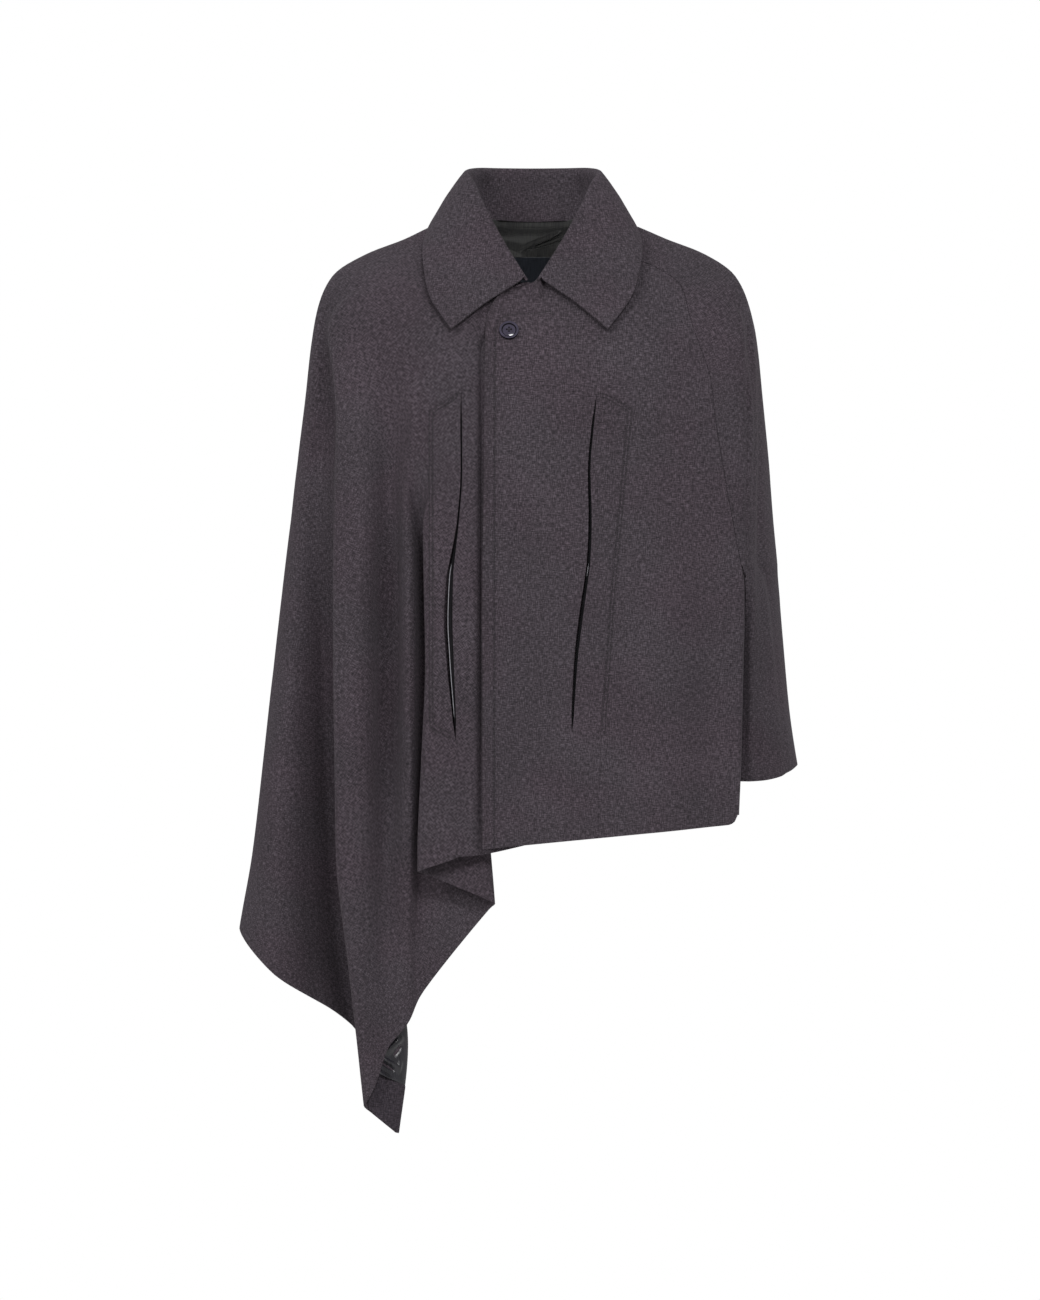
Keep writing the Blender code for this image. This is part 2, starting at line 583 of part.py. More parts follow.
def sleeve_inner(row, share, rear):
    """Inner side of the sleeve under the arm, just outside the body's side."""
    crest = sleeve_point("crest_back" if rear else "crest_front", row)
    if row < UNDERARM:
        lines = RAGLAN_BACK if rear else RAGLAN_FRONT
        return on_body(float(row), line(lines, row) - TURN_REACH * share, rear)
    top = SLEEVE_HEIGHTS[0]
    z = (top + (SLEEVE_HEM["inner"] - top) * (row - UNDERARM) / SLEEVE_ROWS) * MM
    y = crest[1] * (1 - share)
    level = level_at(z)
    edge = on_body(level, line(RAGLAN_BACK if rear else RAGLAN_FRONT, level), rear)
    side = body_side(level, 1 - min(abs(y / edge[1]), 1.0), rear)
    return np.array((side[0] + SIDE_CLEAR, y, z))


def sleeve():
    """Grid of the sleeve and the cells left out above the underarm."""
    grid = []
    for row in range(UNDERARM + SLEEVE_ROWS + 1):
        front = [sleeve_inner(row, share, False) for share in SLEEVE_INNER]
        outer = through([sleeve_point(name, row) for name in SLEEVE_RIBS], SLEEVE_STEPS)
        rear = [sleeve_inner(row, share, True) for share in SLEEVE_INNER[::-1]]
        if row >= UNDERARM:
            front[0][1] -= SEAM / 2
            rear[-1][1] += SEAM / 2
        grid.append(front + list(outer) + rear)
    grid = np.array(grid).transpose(1, 0, 2)
    count = len(SLEEVE_INNER)
    ends = [*range(count), *range(SLEEVE_LAST, SLEEVE_LAST + count)]
    above = [(column, row) for column in ends for row in range(UNDERARM)]
    return grid, above


# ---------------------------------------------------------------- collar
def collar_seam(turn, side):
    """Foot of the stand, just inside the neck edge and a little above it."""
    neck = section(0.0)
    cosine = math.cos(turn)
    where = "back" if cosine < 0 else "front"
    drop = (neck[where + "_z"] - neck["side_z"]) * abs(cosine) ** TILT
    return np.array((side * (neck["right"] - COLLAR_INSET) * math.sin(turn),
                     -(neck[where] - COLLAR_INSET) * cosine,
                     neck["side_z"] + drop + STAND_LIFT + STAND_LIFT_FRONT * cosine))


def collar_rib(angle, roll, edge, side):
    """Section of the collar at a station: up the stand, over the roll, down the fall."""
    seam = collar_seam(math.radians(angle), side)
    shift = COLLAR_RIGHT_SHIFT * smooth(*COLLAR_REACH, angle) if side < 0 else 0
    roll_point = np.array((side * roll[0] + shift * ROLL_SHARE, roll[1], roll[2])) * MM
    edge_point = np.array((side * edge[0] + shift, edge[1], edge[2])) * MM
    out = edge_point - roll_point
    out[2] = 0
    out /= np.linalg.norm(out)
    up = np.array((0, 0, 1.0))
    stand_top = roll_point - (out + up) * COLLAR_ROLL
    fall_top = roll_point + (out - up) * COLLAR_ROLL
    stand_mid = (seam + stand_top) / 2 + out * STAND_BOW
    fall_mid = (fall_top + edge_point) / 2 + out * FALL_BOW + up * FALL_LIFT
    return [seam, stand_mid, stand_top, roll_point, fall_top, fall_mid, edge_point]


def collar():
    """The collar, from its right front end round the back to its left front end."""
    stations = [(*row, -1) for row in COLLAR[:0:-1]] + [(*row, 1) for row in COLLAR]
    ribs = np.array([collar_rib(*station) for station in stations])
    steps = [COLLAR_STEP] * (len(stations) - 1)
    lines = np.array([through(ribs[:, k], steps) for k in range(ribs.shape[1])])
    grid = np.array([through(column, COLLAR_STEPS) for column in lines.transpose(1, 0, 2)])
    wall("collar", grid, CLOTH, WOOL, WOOL_ROUGH)


# ---------------------------------------------------------------- seams and linings
def garment():
    """All panels. Neighbours lend each other a column, so both turn alike at their seam."""
    front, front_holes = left_front()
    drape, drape_holes = right_front()
    rear, rear_holes = back()
    arm, arm_holes = sleeve()
    for row in range(UNDERARM):
        front[FRONT_EDGE + 1, row] = arm[SLEEVE_FIRST + 1, row]
        arm[SLEEVE_FIRST - 1, row] = front[FRONT_EDGE - 1, row]
        rear[BACK_EDGE + 1, row] = arm[SLEEVE_LAST - 1, row]
        arm[SLEEVE_LAST + 1, row] = rear[BACK_EDGE - 1, row]
    wall("front_left", front, CLOTH, WOOL, WOOL_ROUGH, sign=-1.0, holes=front_holes)
    wall("sleeve_left", arm, CLOTH, WOOL, WOOL_ROUGH, sign=-1.0, holes=arm_holes)
    rows = range(ROWS - 1)
    lent = drape.shape[0] - 1
    drape_holes = drape_holes + [(lent, row) for row in rows]
    drape_full = np.concatenate((drape, rear[1:2]))
    wall("front_right", drape_full, CLOTH, WOOL, WOOL_ROUGH, holes=drape_holes)
    rear_full = np.concatenate((drape[-2:-1], rear))
    rear_holes = [(column + 1, row) for column, row in rear_holes] + [(0, row) for row in rows]
    wall("back", rear_full, CLOTH, WOOL, WOOL_ROUGH, holes=rear_holes)
    satin = (SATIN, SATIN_GREY, SATIN_ROUGH)
    layer("yoke_lining", rear, LINING_COLUMNS, (0, YOKE_FOOT), *satin)
    layer("back_lining", rear, LINING_COLUMNS, (YOKE_FOOT, LINING_FOOT), *satin)
    layer("point_lining", drape, POINT_COLUMNS, (POINT_LINING_TOP, POINT_FACING_TOP), *satin)
    layer("point_facing", drape, POINT_COLUMNS, (POINT_FACING_TOP, ROWS - 1), FACING, WOOL,
          WOOL_ROUGH)


def layer(name, panel, columns, rows, thick, colour, rough):
    """A lining or facing on the wrong side of a panel, made from the panel's own points."""
    sunk = panel - normals_of(panel, 1.0) * (CLOTH / 2 + SEAM + thick / 2)
    grid = sunk[columns[0]:columns[1] + 1, rows[0]:rows[1] + 1].copy()
    for side, beside in ((0, 1), (-1, -2)):
        run = grid[:, beside] - grid[:, side]
        grid[:, side] += run / np.linalg.norm(run, axis=1, keepdims=True) * SEAM
    wall(name, grid, thick, colour, rough)


# ---------------------------------------------------------------- button
def button():
    """Dished button with a rounded rim, turned about its axis and laid on the placket."""
    bm = bmesh.new()
    turns = [2 * math.pi * k / BUTTON_SIDES for k in range(BUTTON_SIDES)]
    rings = []
    for radius, height in BUTTON_PROFILE:
        if radius == 0.0:
            rings.append([bm.verts.new((0, 0, height * MM))])
        else:
            rings.append([bm.verts.new((radius * MM * math.cos(turn), radius * MM * math.sin(turn),
                                        height * MM)) for turn in turns])
    for upper, lower in zip(rings, rings[1:]):
        for k in range(BUTTON_SIDES):
            m = (k + 1) % BUTTON_SIDES
            if len(upper) == 1:
                bm.faces.new((upper[0], lower[k], lower[m]))
            elif len(lower) == 1:
                bm.faces.new((upper[k], lower[0], upper[m]))
            else:
                bm.faces.new((upper[k], lower[k], lower[m], upper[m]))
    bm.normal_update()
    mesh = bpy.data.meshes.new("neck_button")
    bm.to_mesh(mesh)
    bm.free()
    obj = finish("neck_button", mesh, BUTTON_COLOUR, BUTTON_ROUGH)
    across = on_chest(BUTTON_X + BUTTON_PROBE, BUTTON_Z) - on_chest(BUTTON_X - BUTTON_PROBE, BUTTON_Z)
    up = on_chest(BUTTON_X, BUTTON_Z + BUTTON_PROBE) - on_chest(BUTTON_X, BUTTON_Z - BUTTON_PROBE)
    normal = Vector(np.cross(across, up)).normalized()
    obj.rotation_mode = "QUATERNION"
    obj.rotation_quaternion = normal.to_track_quat("Z", "Y")
    obj.location = Vector(on_chest(BUTTON_X, BUTTON_Z)) + normal * (CLOTH / 2 - BUTTON_SINK)


for old in list(bpy.data.objects):
    bpy.data.objects.remove(old, do_unlink=True)

garment()
collar()
button()
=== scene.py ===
"""Wool poncho: a raglan cape sleeve on the wearer's left, a long folded drape on the right.

Metres, +Z up, the front faces -Y, +X is the wearer's left. Each panel of cloth is made
between ribs that run from the neck to the hem, then unwrapped flat, which gives the cut.
"""
import math

import bmesh
import bpy
import numpy as np
from mathutils import Matrix, Vector
from mathutils.bvhtree import BVHTree


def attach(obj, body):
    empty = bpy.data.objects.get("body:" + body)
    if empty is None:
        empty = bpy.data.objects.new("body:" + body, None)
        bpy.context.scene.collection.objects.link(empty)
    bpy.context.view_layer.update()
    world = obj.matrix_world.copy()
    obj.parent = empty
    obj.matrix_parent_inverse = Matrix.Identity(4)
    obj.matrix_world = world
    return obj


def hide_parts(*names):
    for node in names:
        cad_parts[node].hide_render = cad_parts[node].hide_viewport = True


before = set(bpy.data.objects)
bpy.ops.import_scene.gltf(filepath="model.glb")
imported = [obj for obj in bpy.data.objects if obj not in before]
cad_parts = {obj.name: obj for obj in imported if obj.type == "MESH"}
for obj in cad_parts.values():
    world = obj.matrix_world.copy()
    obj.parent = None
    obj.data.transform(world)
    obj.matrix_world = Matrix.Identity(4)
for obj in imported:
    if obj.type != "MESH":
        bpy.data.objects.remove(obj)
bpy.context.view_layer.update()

# ------------------------------------------------------------------------------- left front
# The wearer's left front: one layer of melton wool with a fly placket turned in one with
# it, its edges pressed and topstitched, joined to the cape sleeve by a raglan seam and cut
# with a long arm slit. It laps over the right front and carries the neck button.
MM = 0.001
CLOTH = 2.4 * MM
SEAM = 0.4 * MM
COMMON = 13                    # last section that every panel shares
HEM_ROWS = 10
ROWS = COMMON + HEM_ROWS
UNDERARM = 11                  # section at which the sleeve leaves the body
CHEST = 9                      # first section of the chest, which lies flat
TILT = 1.1                     # how quickly a section falls from the shoulder to the chest

# Sections of the body in mm: heights at the front, side and back, half widths on the
# wearer's right and left, depths to the front and back, and power of the rounded outline
SECTION_COLUMNS = ("front_z", "side_z", "back_z", "right", "left", "front", "back", "power")
SECTIONS = (
    (-52, 22, 16, 73, 73, 66, 68, 2.0),
    (-64, 12, 6, 104, 106, 78, 80, 2.1),
    (-78, -3, -8, 136, 142, 90, 91, 2.2),
    (-95, -19, -26, 177, 182.5, 100, 100, 2.3),
    (-115, -41, -50, 211, 213, 109, 108, 2.4),
    (-140, -73, -82, 226, 227.5, 117, 113, 2.5),
    (-170, -115, -124, 233.5, 236, 123, 116, 2.6),
    (-205, -170, -176, 239.5, 241.5, 127, 118, 2.7),
    (-250, -240, -240, 248, 248.2, 130, 119, 2.7),
    (-300, -300, -300, 253.5, 253.2, 131, 120, 2.7),
    (-346, -346, -346, 259, 257.6, 131, 120, 2.7),
    (-358, -358, -358, 260.5, 258.3, 131, 120, 2.7),
    (-405, -405, -405, 267, 258.3, 131, 121, 2.7),
    (-450, -450, -450, 272, 258.3, 132, 122, 2.7),
    (-550, -550, -550, 283, 258.3, 134, 123, 2.7),
    (-650, -650, -650, 295, 258.3, 136, 124, 2.7),
    (-750, -750, -750, 312, 258.3, 137, 125, 2.7),
    (-850, -850, -850, 320, 258.3, 138, 126, 2.7),
    (-950, -950, -950, 325, 258.3, 138, 127, 2.7),
)

# Lines in mm across, one value a section: placket edge, lips of the arm slit, raglan seams
PLACKET_EDGE = (-8, -32, -43, -48.5, -49.5, -50, -50.2, -50.4, -50.6, -51, -52, -52, -52.3,
                -52, -52, -52, -52)
LEFT_SLIT = (25, 37, 47.5, 55.5, 60.5, 63.5, 65.6, 61.8, 58.3, 59.3, 57.4, 56, 49.2, 44.2, 39.5,
             38.5, 38.5)
LEFT_OPEN = (1, 1, 1, 1, 1, 1, 1.8, 2.4, 2.8, 3.4, 3.8, 4, 4.4, 3.8, 2, 1, 1)   # gap between its lips
RAGLAN_FRONT = (66, 93, 128.5, 157, 164.5, 174, 185, 190, 198.5, 208, 217, 219.5, 219.5, 218.4,
                216, 213, 213)
RAGLAN_BACK = (62, 85, 115, 140, 152, 163, 175, 184, 194, 204, 213, 215.5, 215, 214, 212, 210, 210)
SLIT_TOP = 6
SLIT_FOOT = 17
SLIT_TAPER = 0.8               # rows over which the lips close at each end
LEFT_HEM = {"placket": -643.5, "inner": -634.7, "outer": -634.6, "mid": -626.4, "edge": -618,
            "seam": -604}
PLACKET_LIFT = 4.6 * MM        # the placket's edge rolls forward
PLACKET_ROLL = 10 * MM
LEFT_STEPS = (44, 1, 15, 30)
CORNER = 10 * MM               # radius of the rounded hem corner
CORNER_ROWS = 4                # rows over which the corner draws the cloth above it up
SIDE_SEAM_X = 206.0
SIDE_STEPS = 12


def smooth(keys, values, at):
    """Value at `at` on a curve through the keys that never overshoots them."""
    keys = np.asarray(keys, float)
    values = np.asarray(values, float)
    at = min(max(at, keys[0]), keys[-1])
    step = np.diff(keys)
    slope = np.diff(values) / step
    tangent = np.zeros(len(keys))
    tangent[0] = slope[0]
    tangent[-1] = slope[-1]
    both = slope[:-1] * slope[1:]
    inner = both > 0
    tangent[1:-1][inner] = 2 * both[inner] / (slope[:-1] + slope[1:])[inner]
    i = min(int(np.searchsorted(keys, at, side="right")) - 1, len(step) - 1)
    u = (at - keys[i]) / step[i]
    rise = (2 * u ** 3 - 3 * u ** 2 + 1) * values[i] + (3 * u ** 2 - 2 * u ** 3) * values[i + 1]
    turn = (u ** 3 - 2 * u ** 2 + u) * tangent[i] + (u ** 3 - u ** 2) * tangent[i + 1]
    return rise + turn * step[i]


section_cache = {}


def section(level):
    """The row of SECTIONS at a level that may lie between two rows, in metres."""
    key = round(level, 6)
    if key not in section_cache:
        rows = range(len(SECTIONS))
        values = [smooth(rows, [row[i] for row in SECTIONS], level) for i in range(8)]
        found = {name: value * MM for name, value in zip(SECTION_COLUMNS, values)}
        found["power"] = values[7]
        section_cache[key] = found
    return section_cache[key]


def level_at(z):
    """The level of a height below the chest, where sections are flat."""
    return float(np.interp(-z / MM, [-row[0] for row in SECTIONS], range(len(SECTIONS))))


def line(values, level):
    """Place on a line that has one value in mm for each section, in metres."""
    return smooth(range(len(values)), values, level) * MM


def on_body(level, x, rear=False):
    """Point of a section at x, on the front or on the back."""
    sec = section(level)
    half = sec["left"] if x >= 0 else sec["right"]
    share = min(abs(x) / half, 1.0)
    sine = share ** (sec["power"] / 2)
    cosine = math.sqrt(max(0.0, 1 - sine * sine))
    depth = sec["back"] if rear else -sec["front"]
    low = sec["back_z"] if rear else sec["front_z"]
    y = depth * cosine ** (2 / sec["power"])
    z = sec["side_z"] + (low - sec["side_z"]) * cosine ** TILT
    return np.array((x, y, z))


def rib_level(row, hem_z):
    """Level of a row on a rib whose hem is at this height, in metres."""
    if row <= COMMON:
        return float(row)
    top = SECTIONS[COMMON][0] * MM
    return level_at(top + (hem_z - top) * (row - COMMON) / HEM_ROWS)


def through(points, steps):
    """Columns along a rounded curve through the rib points, `steps` to each stretch."""
    pts = np.asarray(points, float)
    pts = np.vstack((2 * pts[0] - pts[1], pts, 2 * pts[-1] - pts[-2]))
    gaps = np.sqrt(np.linalg.norm(np.diff(pts, axis=0), axis=1))
    knots = np.concatenate(((0,), np.cumsum(gaps)))
    out = []
    for i, count in enumerate(steps, start=1):
        p = pts[i - 1:i + 3]
        t = knots[i - 1:i + 3]
        at = (t[1] + (t[2] - t[1]) * np.arange(count) / count)[:, None]
        a = [p[k] + (p[k + 1] - p[k]) * (at - t[k]) / (t[k + 1] - t[k]) for k in range(3)]
        b = [a[k] + (a[k + 1] - a[k]) * (at - t[k]) / (t[k + 2] - t[k]) for k in range(2)]
        out.append(b[0] + (b[1] - b[0]) * (at - t[1]) / (t[2] - t[1]))
    return np.vstack(out + [pts[-2:-1]])


def rows_of(first, last, fine):
    """Rows of a panel, `fine` of them to each section."""
    return np.linspace(first, last, (last - first) * fine + 1)


def lips(middle, gap, row, level):
    """The two lips of an arm slit, drawn together at its ends."""
    near_end = min(row - SLIT_TOP, SLIT_FOOT - row) / SLIT_TAPER
    share = smooth((0, 1), (0.1, 1), near_end) if SLIT_TOP <= row <= SLIT_FOOT else 1
    half = line(gap, level) / 2 * share
    return line(middle, level) - half, line(middle, level) + half


def body_side(level, depth_share, rear):
    """Side of the body under the arm: from the front or back edge (0) to the side seam (1)."""
    edge_x = line(RAGLAN_BACK if rear else RAGLAN_FRONT, level)
    edge = on_body(level, edge_x, rear)
    inward = edge_x - SIDE_SEAM_X * MM
    x = edge_x + smooth((0, 0.12, 0.5, 1), (0, 1.0 * MM, -0.45 * inward, -inward), depth_share)
    return np.array((x, edge[1] * (1 - depth_share), edge[2]))


def left_front_row(row):
    """Points of the left front from the placket to the raglan seam, then round the side."""
    points = []
    for name in ("placket", "inner", "outer", "mid", "edge"):
        level = rib_level(row, LEFT_HEM[name] * MM)
        edge = line(RAGLAN_FRONT, level)
        slit = lips(LEFT_SLIT, LEFT_OPEN, row, level)
        x = {"placket": line(PLACKET_EDGE, level), "inner": slit[0], "outer": slit[1],
             "mid": (slit[1] + edge) / 2, "edge": edge - SEAM / 2}[name]
        points.append(on_body(level, x))
    columns = list(through(points, LEFT_STEPS))
    for point in columns[:LEFT_STEPS[0]]:
        rise = max(0.0, 1 - (point[0] - columns[0][0]) / PLACKET_ROLL)
        point[1] -= PLACKET_LIFT * rise ** 2
    drawn = max(0.0, 1 - (ROWS - row) / CORNER_ROWS)
    for point in columns:
        within = min(max(1 - (columns[-1][0] - point[0]) / CORNER, 0.0), 1.0)
        point[2] += CORNER * (1 - math.sqrt(1 - within ** 2)) * drawn
    for step in range(1, SIDE_STEPS + 1):
        share = step / SIDE_STEPS
        hem = LEFT_HEM["edge"] + (LEFT_HEM["seam"] - LEFT_HEM["edge"]) * share
        point = body_side(rib_level(max(row, UNDERARM), hem * MM), share, False)
        rise = CORNER * (1 - share) ** 2 * drawn
        columns.append(point + np.array((0, -SEAM / 2 * share, rise)))
    return columns


def outward(grid):
    """Directions in which the face side of a grid of points looks."""
    normals = np.cross(np.gradient(grid, axis=0), np.gradient(grid, axis=1))
    return normals / np.maximum(np.linalg.norm(normals, axis=2, keepdims=True), 1e-9)


SEAM_REACH = 4                 # columns over which a fold dies away towards a seam


def crease(grid, folds, face=1, seams=()):
    """Raise soft folds in a grid. Each runs between two places, with a height and a half width.

    Places are across and up; all values are in mm, and a height below zero is a trough.
    """
    rise = np.zeros(grid.shape[:2])
    spot = grid[:, :, (0, 2)] / MM
    for start, end, height, width in folds:
        start, end = np.array(start, float), np.array(end, float)
        run = end - start
        share = (spot - start) @ run / (run @ run)
        near = start + np.clip(share, 0, 1)[..., None] * run
        far = np.linalg.norm(spot - near, axis=2)
        fade = np.clip(1 - np.abs(2 * np.clip(share, 0, 1) - 1) ** 3, 0, 1)
        rise += height * fade * np.exp(-(far / width) ** 2)
    for column in seams:
        rise *= np.clip(np.abs(np.arange(len(grid)) - column) / SEAM_REACH, 0, 1)[:, None]
    return grid + outward(grid) * rise[..., None] * MM * face


def finer(grid, across, down):
    """The same grid with this many times the columns and rows."""
    columns = np.linspace(0, grid.shape[0] - 1, (grid.shape[0] - 1) * across + 1)
    rows = np.linspace(0, grid.shape[1] - 1, (grid.shape[1] - 1) * down + 1)
    first, second = columns.astype(int), rows.astype(int)
    first, second = np.minimum(first, grid.shape[0] - 2), np.minimum(second, grid.shape[1] - 2)
    u, v = (columns - first)[:, None, None], (rows - second)[None, :, None]
    near = grid[first][:, second] * (1 - v) + grid[first][:, second + 1] * v
    far = grid[first + 1][:, second] * (1 - v) + grid[first + 1][:, second + 1] * v
    return near * (1 - u) + far * u


def sheet_mesh(name, grid, missing=()):
    """One layer of cloth from a grid of points, columns first, less the missing cells."""
    columns, rows = grid.shape[:2]
    gone = set(missing)
    cells = [(i, j) for i in range(columns - 1) for j in range(rows - 1) if (i, j) not in gone]
    corners = [(i * rows + j, i * rows + j + 1, (i + 1) * rows + j + 1, (i + 1) * rows + j)
               for i, j in cells]
    used = sorted({k for quad in corners for k in quad})
    place = {k: n for n, k in enumerate(used)}
    mesh = bpy.data.meshes.new(name)
    mesh.from_pydata(grid.reshape(-1, 3)[used].tolist(), [],
                     [tuple(place[k] for k in quad) for quad in corners])
    obj = bpy.data.objects.new(name, mesh)
    bpy.context.collection.objects.link(obj)
    return obj, place


def only(obj):
    """Select this object alone and make it active."""
    for other in bpy.context.selected_objects:
        other.select_set(False)
    obj.select_set(True)
    bpy.context.view_layer.objects.active = obj


def lay_flat(obj, top, foot, bias=0.0):
    """Unwrap a sheet to its flat cut in metres, its grain line from vertex top to foot.

    Returns the cut's width, length and area. bias turns the weave against that line.
    """
    only(obj)
    bpy.ops.object.mode_set(mode="EDIT")
    bpy.ops.mesh.select_all(action="SELECT")
    bpy.ops.uv.unwrap(method="CONFORMAL", margin=0)
    bpy.ops.object.mode_set(mode="OBJECT")
    mesh = obj.data
    mesh.uv_layers.active.name = "cut"
    uv = np.empty(len(mesh.loops) * 2, np.float32)
    mesh.uv_layers["cut"].data.foreach_get("uv", uv)
    uv = uv.reshape(-1, 2).astype(float)
    quads = uv.reshape(-1, 4, 2)
    ax, bx = quads[:, 2] - quads[:, 0], quads[:, 3] - quads[:, 1]
    flat = abs((ax[:, 0] * bx[:, 1] - ax[:, 1] * bx[:, 0]).sum()) / 2
    area = sum(face.area for face in mesh.polygons)
    uv *= math.sqrt(area / flat)
    corner = {loop.vertex_index: k for k, loop in enumerate(mesh.loops)}
    run = uv[corner[foot]] - uv[corner[top]]
    turn = -math.pi / 2 - math.atan2(run[1], run[0])
    spin = np.array(((math.cos(turn), -math.sin(turn)), (math.sin(turn), math.cos(turn))))
    uv = uv @ spin.T
    size = uv.max(axis=0) - uv.min(axis=0)
    bias = math.radians(bias)
    spin = np.array(((math.cos(bias), -math.sin(bias)), (math.sin(bias), math.cos(bias))))
    mesh.uv_layers["cut"].data.foreach_set("uv", (uv @ spin.T).astype(np.float32).ravel())
    return float(size[0]), float(size[1]), float(area)


def thicken(obj, thick, edge=0.9 * MM, angle=60):
    """Give a sheet its thickness on both sides and round its edges."""
    only(obj)
    solid = obj.modifiers.new("thickness", "SOLIDIFY")
    solid.thickness = thick
    solid.offset = 0
    bevel = obj.modifiers.new("rounded edge", "BEVEL")
    bevel.width = edge
    bevel.segments = 2
    bevel.limit_method = "ANGLE"
    bevel.angle_limit = math.radians(angle)
    bpy.ops.object.modifier_apply(modifier=solid.name)
    bpy.ops.object.modifier_apply(modifier=bevel.name)
    bpy.ops.object.shade_smooth_by_angle(angle=math.radians(angle))


def linear(code):
    """Linear colour of an sRGB hex value."""
    parts = [int(code[k:k + 2], 16) / 255 for k in (1, 3, 5)]
    return tuple(c / 12.92 if c <= 0.04045 else ((c + 0.055) / 1.055) ** 2.4 for c in parts) + (1,)


def add(tree, kind, inputs=(), links=(), **settings):
    """Add a node with its settings, socket values and incoming links."""
    node = tree.nodes.new(kind)
    for name, value in settings.items():
        setattr(node, name, value)
    for name, value in dict(inputs).items():
        node.inputs[name].default_value = value
    for name, source in dict(links).items():
        tree.links.new(source, node.inputs[name])
    return node


# Melton wool, woven, milled and pressed: a matt, dense face of short fibres in two greys
# with a violet cast. The threads still show as fine broken streaks along and across the
# cut. Real threads are 0.8 mm; they are drawn 1.7 mm wide so that they show at this size.
WOOL_DARK = "#262226"
WOOL_MID = "#3e373d"
WOOL_LIGHT = "#5f565e"
THREAD = 1.1                   # mm
THREAD_RUN = 5.0
FLECK = 0.8
CLOUD = 70.0
PATCH = 90.0                   # patches of greener and of pinker wool in the blend
CASTS = (0.985, 1.012, 1.0, 1), (1.02, 0.985, 1.0, 1)
GROOVE = 2.4                   # from a row of stitches to the edge of its groove
GROOVE_END = 30 * MM           # added past the end of a row, where no groove runs on
GROOVE_PAINTED_SHADE = 0.78            # painted shade: how much darker the colour is drawn in the middle of each stitch groove
